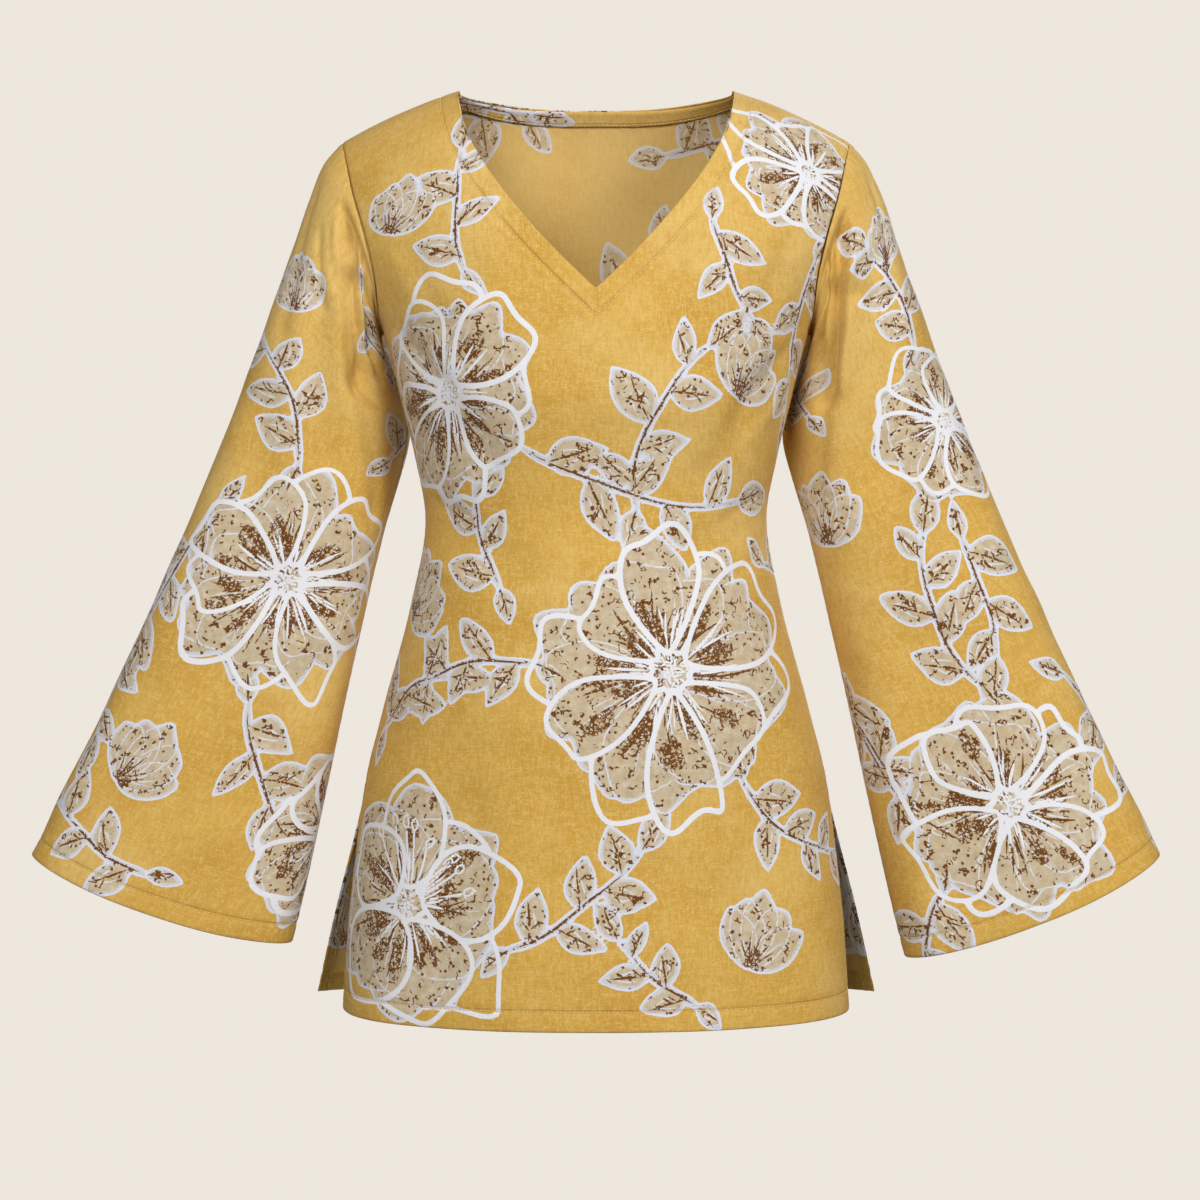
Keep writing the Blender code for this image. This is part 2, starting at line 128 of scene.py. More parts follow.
bpy.ops.object.select_all(action="DESELECT")
bpy.ops.mesh.primitive_plane_add(size=2 * STAGE_HALF, location=(0, BACKDROP_Y - STAGE_HALF, FLOOR))
paper = bpy.context.active_object
paper.name = "backdrop"
bpy.ops.object.transform_apply(location=True, rotation=True, scale=True)
bpy.ops.object.mode_set(mode="EDIT")
bpy.ops.mesh.select_all(action="DESELECT")
bpy.ops.object.mode_set(mode="OBJECT")
for edge in paper.data.edges:
    edge.select = all(paper.data.vertices[v].co.y > BACKDROP_Y - 0.01 for v in edge.vertices)
bpy.ops.object.mode_set(mode="EDIT")
bpy.ops.mesh.select_mode(type="EDGE")
bpy.ops.mesh.extrude_region_move(TRANSFORM_OT_translate={"value": (0, 0, STAGE_HALF)})
bpy.ops.object.mode_set(mode="OBJECT")
bend = paper.modifiers.new("bend", "BEVEL")
bend.width = BEND
bend.segments = BEND_STEPS
bpy.ops.object.modifier_apply(modifier="bend")
bpy.ops.object.shade_smooth()
paper.data.materials.append(stage_paint)


for name, where, watts, width in LIGHTS:
    data = bpy.data.lights.new(name, "AREA")
    data.energy = watts
    data.size = width
    light = bpy.data.objects.new(name, data)
    light.visible_camera = False
    light.location = where
    light.rotation_euler = (Vector(MIDDLE) - Vector(where)).to_track_quat("-Z", "Y").to_euler()
    bpy.context.scene.collection.objects.link(light)
print("stage faces", len(paper.data.polygons), "lights", len(LIGHTS))

# %% [markdown]
# ## The form of the body
# A worn garment is easiest to describe as a stack of level rings. Each row below gives half of one ring: its
# height, how far it reaches to the side, how far it stands out in front or behind, how far the whole ring is
# set back, and where the cut piece ends. A smooth curve runs through each column of the table, so a short
# table gives a smooth body. They are the same sizes as the packed model's, so the sheet lies on its wall.

# %% Sizes of the body
NECK_HALF = 0.107  # from the middle to a high shoulder point
V_DEPTH = 0.168
V_BOW = 1.85  # 1 is a straight V, more bows its sides outwards
BACK_NECK_DROP = 0.020
BACK_NECK_ROUND = 2.4
SHOULDER_HALF = 0.199
SHOULDER_DROP = 0.040
UNDERARM = -0.190
SLOPE_FADE = 0.220
BUST = -0.240
CHEST_DEPTH = 0.128
CHEST_ROUND = 2.3
BLADE_DEPTH = 0.098
BLADE_ROUND = 3.0
SECTION_ROUND = 2.3
HEM_DIP = 0.005
BACK_SHORTER = 0.006
SLIT_TOP = -0.543
SEAM_HALF_GAP = 0.00005

Section = namedtuple("Section", "height half_width depth set_back edge")


def in_metres(kind, *rows):
    """A table whose rows are written in millimetres."""
    return [kind(*(value / 1000 for value in row)) for row in rows]


FRONT_SECTIONS = in_metres(
    Section,
    (-713, 196.5, 113, -22, 196.5),
    (-640, 192, 117, -12, 192),
    (-590, 187, 121, -4, 187),
    (-543, 181, 123, 0, 181),
    (-477, 165, 122, 0, 165),
    (-398, 144, 116, 0, 144),
    (-335, 133.5, 111, 0, 133.5),
    (-285, 142, 119, 0, 142),
    (-240, 153, 128, 0, 153),
    (-190, 166, 126, 0, 166),
    (-175, 172.5, 123, 0, 168),
    (-150, 183, 118, 0, 169.5),
    (-112, 199, 108, 0, 175.5),
    (-58, 214, 87, 0, 187),
    (-12, 220, 47, 0, 196),
    (0, 221, 0, 0, 199),
)
BACK_SECTIONS = in_metres(
    Section,
    (-717, 240, 115, 10, 224.6),
    (-640, 217, 117, 3, 207),
    (-590, 197.5, 117, 0, 193.5),
    (-543, 181, 116, 0, 181),
    (-477, 165, 112, 0, 165),
    (-398, 144, 96, 0, 144),
    (-335, 133.5, 84, 0, 133.5),
    (-285, 142, 87, 0, 142),
    (-240, 153, 94, 0, 153),
    (-190, 166, 98, 0, 166),
    (-175, 172.5, 98, 0, 168),
    (-150, 183, 97, 0, 170.5),
    (-112, 199, 92, 0, 177),
    (-58, 214, 79, 0, 187.5),
    (-12, 220, 49, 0, 196),
    (0, 221, 0, 0, 199),
)
print("hem to shoulder", -FRONT_SECTIONS[0].height, "m; across the shoulders", 2 * SHOULDER_HALF, "m")


# %% Curves through the tables
def follow(table, name, at):
    """A column of the table at any value of its first column, on a smooth curve that never overshoots."""
    known = np.array([row[0] for row in table])
    values = np.array([getattr(row, name) for row in table])
    steps = np.diff(known)
    slopes = np.diff(values) / steps
    before, after = slopes[:-1], slopes[1:]
    same_way = before * after > 0
    both = np.where(same_way, before + after, 1.0)
    middle = np.where(same_way, 2 * before * after / both, 0.0)
    tangents = np.concatenate([slopes[:1], middle, slopes[-1:]])
    at = np.asarray(at, float)
    i = np.clip(np.searchsorted(known, at, side="right") - 1, 0, len(steps) - 1)
    t = (at - known[i]) / steps[i]
    start = values[i] * (1 + 2 * t) + tangents[i] * steps[i] * t
    end = values[i + 1] * (3 - 2 * t) + tangents[i + 1] * steps[i] * (t - 1)
    return start * (1 - t) ** 2 + end * t**2


def eased(t):
    """0 to 1 as t goes from 0 to 1, level at both ends."""
    t = np.clip(t, 0, 1)
    return t * t * (3 - 2 * t)


def run_along(line):
    """How far along a line each of its points is."""
    return np.concatenate([[0], np.cumsum(np.linalg.norm(np.diff(line, axis=0), axis=1))])


print("half of the waist's width:", follow(FRONT_SECTIONS, "half_width", -0.335), "m")


# %% A point on the body
def depth_at(sections, height):
    """How far a panel stands out from the side seams. Above the bust or shoulder blades it rounds over."""
    front = sections is FRONT_SECTIONS
    top, depth, power = (BUST, CHEST_DEPTH, CHEST_ROUND) if front else (UNDERARM, BLADE_DEPTH, BLADE_ROUND)
    share = np.clip((height - top) / -top, 0, 1)
    rounded = depth * (1 - share**2) ** (1 / power)
    return np.where(height > top, rounded, follow(sections, "depth", np.minimum(height, top)))


def body_point(sections, height, angle):
    """A point on the body. The angle is 0 at the middle and a quarter turn at the side seam."""
    sign = -1 if sections is FRONT_SECTIONS else 1
    power = 2 / SECTION_ROUND
    height = height + 0.0 * angle
    half = follow(sections, "half_width", height)
    x = half * np.sin(angle) ** power
    out = depth_at(sections, height) * np.cos(angle).clip(0) ** power
    y = follow(sections, "set_back", height) + sign * (SEAM_HALF_GAP + out)
    slope = SHOULDER_DROP / (SHOULDER_HALF**2 - NECK_HALF**2)
    felt = eased(1 + height / SLOPE_FADE)
    z = height - slope * (x**2 - NECK_HALF**2) * felt
    hang = eased((SLIT_TOP - height) / (SLIT_TOP - sections[0].height))
    lift = 0 if sign < 0 else BACK_SHORTER
    z = z + hang * (lift - HEM_DIP * np.cos(angle))
    return np.stack([x, y, z], -1)


def angle_of(sections, height, x):
    """The angle at which the body is x from the middle."""
    half = follow(sections, "half_width", height)
    return np.arcsin(np.clip(x / half, 0, 1) ** (SECTION_ROUND / 2))


def back_height(y):
    """The height at which the middle of the back stands out this far, near the neck."""
    share = np.clip(y / BLADE_DEPTH, 0, 1)
    return UNDERARM * (1 - np.sqrt(1 - share**BLADE_ROUND))


NECK_DEEPEST = depth_at(BACK_SECTIONS, np.array(-BACK_NECK_DROP))


def neck_height(sections, x):
    """How high the cut edge is, x from the middle: the V, the back neck, and then the shoulder seam."""
    share = np.clip(x / NECK_HALF, 0, 1)
    if sections is FRONT_SECTIONS:
        return -V_DEPTH * (1 - share) ** (1 / V_BOW)
    return back_height(NECK_DEEPEST * (1 - share**BACK_NECK_ROUND) ** (1 / BACK_NECK_ROUND))


print("the V's point is", neck_height(FRONT_SECTIONS, 0.0), "m below the high shoulder points")

# %% [markdown]
# ## Laying a fine grid on a panel
# Cloth is woven square, so a square grid suits it: threads, creases and print can all be placed by how far
# across and how far along the cloth they are. Rows run level up to the underarm. From there each column's
# rows are shared out up to its own end, at the neck or at the shoulder seam, so that both edges stay clean.

# %% A panel's grid
CELL = 0.0027
FAN_FROM = {"front": -0.190, "back": -0.045}  # where the rows stop running level
NECK_COLUMNS = 42  # from the middle to the high shoulder point
SHOULDER_COLUMNS = 36
EDGE_STEPS = (0.0, 0.0009, 0.0022)  # extra lines close to an edge that is sewn
HEM_DEPTH = 0.0165  # the hem is turned up this much
HEM_STEP = 0.0005
HEM_LINE = 0.0008  # one more line of points this close to the turned edge
FINE = 60
LONG_LINE = 2400  # points on a line that is only measured
MEASURE_AT = 0.095  # the cloth's length is measured this far from the middle
Laid = namedtuple("Laid", "points normals across along edge_side edge_top")


def length_table(sections):
    """Heights with the cloth's length from the shoulder seam down to each, counted below nought."""
    heights = sections[0].height * (1 - np.sin(np.linspace(0, math.pi / 2, LONG_LINE)))
    run = run_along(body_point(sections, heights, angle_of(sections, heights, MEASURE_AT)))
    return heights, run - run[-1]


def steps_across(sections, height, angle):
    """Small steps across the cloth from the middle to each angle, at its own height."""
    line = body_point(sections, height[..., None], angle[..., None] * np.linspace(0, 1, FINE))
    return np.linalg.norm(np.diff(line, axis=-2), axis=-1)


def angle_across(sections, height, across):
    """The angle at each distance across the cloth, and the distance to the panel's side edge."""
    end = angle_of(sections, height, follow(sections, "edge", height))
    steps = steps_across(sections, height, end)
    run = np.concatenate([0 * steps[..., :1], np.cumsum(steps, -1)], -1)
    i = np.clip((run <= across[..., None]).sum(-1) - 1, 0, FINE - 2)
    low = np.take_along_axis(run, i[..., None], -1)[..., 0]
    high = np.take_along_axis(run, i[..., None] + 1, -1)[..., 0]
    part = np.clip((across - low) / np.maximum(high - low, 1e-9), 0, 1)
    return end * (i + part) / (FINE - 1), run[..., -1]


def normals_of(points, flip):
    """The way out of the cloth at each point of a grid."""
    normal = np.cross(np.gradient(points, axis=1), np.gradient(points, axis=0)) * flip
    return normal / np.maximum(np.linalg.norm(normal, axis=-1), 1e-12)[..., None]


def neck_columns(sections):
    """How far from the middle each column meets the neck, spaced evenly along the cut edge."""
    x = NECK_HALF * np.sin(np.linspace(0, math.pi / 2, 3000))
    height = neck_height(sections, x)
    run = run_along(body_point(sections, height, angle_of(sections, height, x)))
    return np.interp(np.linspace(0, run[-1], NECK_COLUMNS + 1), run, x)


def mirrored(values, sign=1):
    """Both halves of a panel, from the half at the wearer's left."""
    return np.concatenate([sign * values[:, :0:-1], values], 1)


def lay_panel(name, sections):
    """The panel's grid, row by row from the hem, from the wearer's right edge to the left one."""
    heights, lengths = length_table(sections)
    hem = lengths[0]
    start = np.interp(FAN_FROM[name], heights, lengths)
    level = np.linspace(hem, start, int((start - hem) / CELL) + 1)
    hem_lines = [hem + HEM_LINE, hem + HEM_DEPTH - HEM_STEP, hem + HEM_DEPTH]
    level = np.sort(np.concatenate([level[1:], [hem], hem_lines]))
    fan = np.linspace(0, 1, int(-start / CELL) + 1)[1:]
    near_top = -np.array(EDGE_STEPS[:0:-1])
    seam = np.linspace(NECK_HALF, SHOULDER_HALF, SHOULDER_COLUMNS + 1)[1:]
    tops = np.concatenate([neck_columns(sections), seam])
    top_height = neck_height(sections, tops)
    top_length = np.interp(top_height, heights, lengths)
    rows = np.repeat(level[:, None], len(tops), 1)
    fanned = start + (top_length + near_top[0] - start) * fan[:-1, None]
    rows = np.concatenate([rows, fanned, top_length + near_top[:, None], top_length[None]])
    blend = np.concatenate([0 * level, fan[:-1] ** 2, 1 + 0 * near_top, [1.0]])[:, None]
    height = np.interp(rows, lengths, heights)
    whole = angle_across(sections, height, 0 * height)[1]
    share = np.linspace(0, 1, len(tops) - 3)
    inner = share * (whole - 2 * EDGE_STEPS[2])[:, :-3]
    outer = whole[:, -1:] - np.array(EDGE_STEPS[::-1])
    across = np.concatenate([inner, outer], 1)
    top_angle = angle_of(sections, top_height, tops)
    top_arc = steps_across(sections, top_height, top_angle).sum(-1)
    by_neck = np.arange(len(tops)) <= NECK_COLUMNS
    across = np.where(by_neck, across * (1 - blend) + top_arc * blend, across)
    angle = angle_across(sections, height, across)[0]
    half = body_point(sections, height, angle)
    points = np.concatenate([half[:, :0:-1] * (-1, 1, 1), half], 1)
    normals = normals_of(points, 1 if name == "front" else -1)
    sides = (mirrored(values) for values in (rows, whole - across, top_length - rows))
    return Laid(points, normals, mirrored(across, -1), *sides), mirrored(height)


grids, levels = {}, {}
for panel_name, panel_sections in (("front", FRONT_SECTIONS), ("back", BACK_SECTIONS)):
    grids[panel_name], levels[panel_name] = lay_panel(panel_name, panel_sections)
    print(panel_name, "grid", grids[panel_name].points.shape, "along", round(grids[panel_name].along.min(), 4))

# %% [markdown]
# ## The form of the sleeves
# A flared sleeve is a tube that starts as the armhole and opens towards the cuff. Its table follows two lines,
# along the top of the arm and under it, with how deep the sleeve is between them. Near the body each ring
# still has the armhole's own bent shape, and that fades away down the arm, as a sleeve head's ease does. The
# grid is laid like the flat piece: from the seam under the arm, over the top and round to that seam again.

# %% Sizes of the sleeves
Station = namedtuple("Station", "along top_x top_z under_x under_z depth set_back")
SLEEVE_STATIONS = in_metres(
    Station,
    (0, 199, -40, 166, -190, 50, 0),
    (18, 213, -57, 168, -189, 52, 0),
    (45, 224.5, -84, 168.5, -196, 55, 0),
    (90, 238.5, -126, 164.5, -214, 57, 0),
    (140, 254.5, -171, 159.5, -236, 56, 1),
    (190, 270.5, -214, 155, -262, 55, 2),
    (250, 291.5, -269, 160, -310, 53, 2),
    (330, 322, -343, 177, -388, 51, 0),
    (410, 355, -418, 194.5, -467, 50, -4),
    (490, 390, -495, 211.5, -550, 50, -9),
    (560, 421, -557, 226.5, -621, 51, -14),
    (605, 438.5, -595, 236.5, -664, 52, -18),
)
CAP = 0.150  # how far along the sleeve the armhole's own shape is felt
CUFF_DIP = 0.009
UNDER_LONGER = {"left": 0.012, "right": 0.0}
SIDES = {"left": 1, "right": -1}  # the wearer's left is +X
RING_COLUMNS = 204
SLEEVE_CELL = 0.0030
EVEN_AT = 0.4  # how far along the sleeve its columns are spaced evenly
BLADE_SHARE = 9 / 17  # how much of the back armhole lies below the back neck's level


# %% Rings of the sleeve
def armhole(turns):
    """The armhole's edge at each turn: 0 at the shoulder, half a turn forward or back at the underarm."""
    front_height = UNDERARM * (1 - np.cos(turns.clip(0) * math.pi))
    up = (turns + 0.5) / 0.5
    last = math.asin(1 + BACK_NECK_DROP / UNDERARM)
    low = UNDERARM * (1 - np.sin(np.clip(up / BLADE_SHARE, 0, 1) * last))
    rest = np.clip((up - BLADE_SHARE) / (1 - BLADE_SHARE), 0, 1)
    high = back_height(NECK_DEEPEST * np.cos(rest * math.pi / 2).clip(0) ** (2 / BACK_NECK_ROUND))
    back_edge = np.where(up < BLADE_SHARE, low, high)
    loops = []
    for sections, height in ((FRONT_SECTIONS, front_height), (BACK_SECTIONS, back_edge)):
        loops.append(body_point(sections, height, angle_of(sections, height, follow(sections, "edge", height))))
    return np.where(turns[:, None] >= 0, loops[0], loops[1])


def sleeve_ring(along, turns, under_longer=0.0):
    """A ring round the arm. A turn of 0 is along the top, a quarter at the front and a half under the arm."""
    at = {name: follow(SLEEVE_STATIONS, name, along) for name in Station._fields[1:]}
    share = (along / SLEEVE_STATIONS[-1].along) ** 3
    top = np.array([at["top_x"], 0.0, at["top_z"]])
    under = np.array([at["under_x"], 0.0, at["under_z"]])
    angle = 2 * math.pi * turns
    power = 2 / SECTION_ROUND
    across = np.sign(np.cos(angle)) * abs(np.cos(angle)) ** power
    deep = np.sign(np.sin(angle)) * abs(np.sin(angle)) ** power
    ring = (top + under) / 2 + across[:, None] * (top - under) / 2
    ring[:, 1] = at["set_back"] - deep * at["depth"]
    down = np.array([top[2] - under[2], 0.0, under[0] - top[0]])
    down /= np.linalg.norm(down)
    longer = CUFF_DIP * np.sin(angle) ** 2 + under_longer * (1 - np.cos(angle)) / 2
    return ring + share * longer[:, None] * down


def even_turns():
    """Turns from the underarm seam round to itself, about as far apart on the cloth, and closer at the seam."""
    fine = np.linspace(0, 0.5, 4000)
    run = run_along(sleeve_ring(EVEN_AT, fine))
    inner = np.linspace(0, run[-1] - 2 * EDGE_STEPS[2], RING_COLUMNS // 2 - 2)
    half = np.interp(np.concatenate([inner, run[-1] - np.array(EDGE_STEPS[::-1])]), run, fine)
    return np.concatenate([-half[:0:-1], half])


def lay_sleeve(hand):
    turns = even_turns()
    cuff = SLEEVE_STATIONS[-1].along
    steps = np.linspace(0, cuff, int(cuff / SLEEVE_CELL))[1:-1]
    hem_lines = [cuff - HEM_DEPTH, cuff - HEM_DEPTH + HEM_STEP, cuff - HEM_LINE, cuff]
    alongs = np.sort(np.concatenate([EDGE_STEPS, steps[1:], hem_lines]))
    left_over = armhole(turns) - sleeve_ring(0.0, turns)
    rings, across = [], []
    middle = len(turns) // 2
    for along in alongs:
        ring = sleeve_ring(along, turns, UNDER_LONGER[hand]) + left_over * (1 - eased(along / CAP))
        run = run_along(ring)
        rings.append(ring)
        across.append(run - run[middle])
    side = SIDES[hand]
    points = np.array(rings) * (side, 1, 1)
    across = np.array(across)
    rows = np.repeat(alongs[:, None], len(turns), 1)
    edge_side = np.minimum(across - across[:, :1], across[:, -1:] - across)
    return Laid(points, normals_of(points, side), -side * across, -rows, edge_side, rows), turns


sleeve_turns = None
for hand in SIDES:
    grids["sleeve_" + hand], sleeve_turns = lay_sleeve(hand)
    cuff_across = grids["sleeve_" + hand].across[-1]
    print("sleeve", hand, "grid", grids["sleeve_" + hand].points.shape, "cuff", round(np.ptp(cuff_across), 3), "m")

# %% [markdown]
# ## The facing inside the back neck
# A narrow strip finishes the back neck. It lies against the inside of the back, follows the neck's curve from
# shoulder to shoulder, and its upper edge rolls over to meet the back's own edge.

# %% The facing's grid
CLOTH = 0.0009  # one layer, as it is worn
WALL = 0.0012  # one layer of the packed wall
FACING_DEPTH = 0.012
FACING_RISE = 0.0083
FACING_GAP = 0.0009
FACING_COLUMNS = 150
FACING_ROWS = 9
FACING_SLANT = 1.25  # its depth along the cloth for each metre seen from above
FACING_END = 0.035  # where it stops, in radians short of each shoulder seam
ROUNDS = 8  # of guessing a height again from the angle that it gives
NORMAL_STEP = 0.0005


def body_normal(sections, height, angle):
    below = body_point(sections, height - NORMAL_STEP, angle)
    up = body_point(sections, height, angle) - below
    around = body_point(sections, height - NORMAL_STEP, angle + NORMAL_STEP) - below
    normal = np.cross(around, up) * (-1 if sections is BACK_SECTIONS else 1)
    return normal / np.linalg.norm(normal, axis=-1)[..., None]


def lay_facing():
    turn = np.linspace(FACING_END, math.pi - FACING_END, FACING_COLUMNS)
    power = 2 / BACK_NECK_ROUND
    rows = []
    for share in np.linspace(0, 1, FACING_ROWS):
        x = (NECK_HALF + FACING_DEPTH * share) * np.sign(np.cos(turn)) * abs(np.cos(turn)) ** power
        y = (NECK_DEEPEST + FACING_RISE * share) * np.sin(turn) ** power
        height = 0.0 * y
        for _ in range(ROUNDS):
            angle = angle_of(BACK_SECTIONS, height, abs(x))
            height = back_height(y / np.cos(angle) ** (2 / SECTION_ROUND))
        outer = body_point(BACK_SECTIONS, height, angle)
        depth = (WALL + FACING_GAP) * eased(0.35 + 3 * share)
        inner = outer - body_normal(BACK_SECTIONS, height, angle) * depth
        rows.append(inner * np.stack([np.where(x < 0, -1, 1), 1 + 0 * x, 1 + 0 * x], -1))
    points = np.array(rows)[::-1, ::-1]
    across = run_along(points[-1])
    across = np.repeat((across - across[-1] / 2)[None], FACING_ROWS, 0)
    along = np.repeat(np.linspace(-FACING_DEPTH * FACING_SLANT, 0, FACING_ROWS)[:, None], FACING_COLUMNS, 1)
    return Laid(points, normals_of(points, 1), across, along, 1 + 0 * across, 1 + 0 * across)


grids["back_neck_facing"] = lay_facing()
print("facing grid", grids["back_neck_facing"].points.shape)

# %% [markdown]
# ## Where it is sewn
# Every hem and faced edge is held by one row of topstitching: beside the neck, above the hem and the cuffs, and
# along both edges of each slit. The rows are laid out first, on flat cloth, because the cloth sinks a little
# under them. Beside the V the two rows are carried on until they meet below its point.

# %% Rows of topstitching
HEM_STITCH = 0.0150  # above the turned edge
NECK_STITCH = 0.0145
BACK_NECK_STITCH = 0.0110
SLIT_STITCH = 0.0095
FACING_STITCH = 0.0017
ROW_END = 0.001  # a row stops this short of an edge
TACK_RISE, TACK_ABOVE = 0.003, 0.004  # the slanting row that closes the top of a slit


def close_to(points, line, reach):
    """Which of the points lie in the box round a line."""
    low, high = line.min(0) - reach, line.max(0) + reach
    return np.flatnonzero(((points > low) & (points < high)).all(1))


def nearest(points, starts, ends, chunk=3000):
    """For each point, how far it is from the nearest of these short straight lines, and which one that is."""
    run = ends - starts
    square = (run**2).sum(1).clip(1e-14)
    best, which = np.zeros(len(points)), np.zeros(len(points), int)
    for first in range(0, len(points), chunk):
        off = points[first : first + chunk, None] - starts
        t = ((off * run).sum(-1) / square).clip(0, 1)
        gap = np.linalg.norm(off - t[..., None] * run, axis=-1)
        which[first : first + chunk] = gap.argmin(1)
        best[first : first + chunk] = gap.min(1)
    return best, which


def beside_neck(grid, distance, meets):
    """The row beside the neck, a fixed distance into the cloth from the cut edge."""
    middle = grid.across.shape[1] // 2
    edge = np.stack([grid.across[-1], grid.along[-1]], -1)[middle : middle + NECK_COLUMNS + 1]
    way = np.gradient(edge, axis=0)
    into = np.stack([way[:, 1], -way[:, 0]], -1) / np.linalg.norm(way, axis=1)[:, None]
    row = edge + into * distance
    row = row[row[:, 0] > 0.0]
    if meets:
        slope = (row[2, 1] - row[0, 1]) / (row[2, 0] - row[0, 0])
        row = np.concatenate([[[0.0, row[0, 1] - slope * row[0, 0]]], row])
    return np.concatenate([row[::-1] * (-1, 1), row[1:] if meets else row])


def stitch_rows(name):
    grid = grids[name]
    low = grid.along.min()
    if name == "back_neck_facing":
        return [np.stack([grid.across[0, 2:-2], grid.along[0, 2:-2] + FACING_STITCH], -1)]
    ends = grid.across[0 if name in levels else -1]
    level = low + HEM_STITCH
    rows = [np.array([[ends.min() + ROW_END, level], [ends.max() - ROW_END, level]])]
    if name in levels:
        distance = NECK_STITCH if name == "front" else BACK_NECK_STITCH
        rows.append(beside_neck(grid, distance, name == "front"))
        open_rows = levels[name][:, 0] < SLIT_TOP + TACK_ABOVE
        edge = np.stack([grid.across[open_rows, -1] - SLIT_STITCH, grid.along[open_rows, -1]], -1)
        tack = np.array([edge[-1], edge[-1] + (SLIT_STITCH - ROW_END, TACK_RISE)])
        for side in (-1, 1):
            rows.append(edge[::3] * (side, 1))
            rows.append(tack * (side, 1))
    if name == "front":
        point = rows[1][len(rows[1]) // 2]
        rows.append(np.array([[0.0, grid.along[-1].min() - ROW_END], point]))
    return rows


sewn = {name: stitch_rows(name) for name in grids}
for name, rows in sewn.items():
    print(name, "rows of stitches:", len(rows), "long", round(sum(run_along(row)[-1] for row in rows), 2), "m")

# %% [markdown]
# ## Creases
# Cloth that hangs on a body is never smooth. Long soft troughs fall from where it is held, at the underarm and
# the elbow, and small sharper ones sit beside them. Each row of a table is one crease: a line on the cloth
# that sinks in, or stands up where its depth is below nought. The first rows of each table are the packed
# wall's own folds. A low rumple and a little pucker along the seams finish the surface.

# %% Tables of creases
Fold = namedtuple("Fold", "across height across_end height_end width depth")
FRONT_FOLDS = in_metres(
    Fold,
    (-150, -215, -85, -290, 16, 3),
    (155, -220, 90, -300, 16, 3),
    (-120, -345, -60, -375, 18, 2.5),
    (120, -345, 70, -365, 18, 2.5),
    (-105, -520, -125, -717, 30, 4),
    (110, -540, 130, -717, 30, 4),
    (-168, -196, -120, -236, 7, 1.6),
    (-172, -226, -132, -262, 6, -1),
    (170, -204, 118, -252, 7, 1.8),
    (166, -246, 128, -276, 6, -1.1),
    (-150, -128, -118, -190, 10, 1.4),
    (152, -120, 126, -196, 10, 1.6),
    (-148, -322, -96, -334, 6, 1.3),
    (146, -318, 104, -336, 6, 1.4),
    (-152, -366, -110, -382, 7, -1),
    (150, -362, 88, -390, 7, 1.2),
    (30, -400, 74, -470, 16, 1.1),
    (-60, -560, -70, -700, 20, -1.2),
    (46, -600, 52, -713, 18, 1.3),
)
BACK_FOLDS = in_metres(
    Fold,
    (-150, -215, -80, -270, 18, 3),
    (150, -210, 85, -280, 18, 3),
    (-130, -350, 20, -362, 16, 3),
    (130, -335, -10, -325, 16, 2.5),
    (-80, -480, -110, -717, 32, 5),
    (70, -500, 100, -717, 32, 5),
    (-160, -196, -110, -232, 7, 1.8),
    (162, -200, 104, -246, 7, 1.7),
    (-142, -306, -50, -340, 8, 1.6),
    (140, -360, 40, -352, 8, 1.8),
    (-120, -384, -20, -392, 9, 1.4),
    (118, -392, 52, -404, 7, -1.2),
    (10, -420, 18, -560, 22, 1.8),
    (-30, -600, -36, -717, 18, -1.6),
    (150, -560, 160, -717, 20, 1.8),
)
PER_DEGREE = 0.00125  # cloth round the arm for each degree of turn


def round_the_arm(*rows):
    """A sleeve's table: how far round the arm in degrees, and all else in millimetres."""
    return [Fold(turn, a / 1000, turn_end, *(value / 1000 for value in rest)) for turn, a, turn_end, *rest in rows]


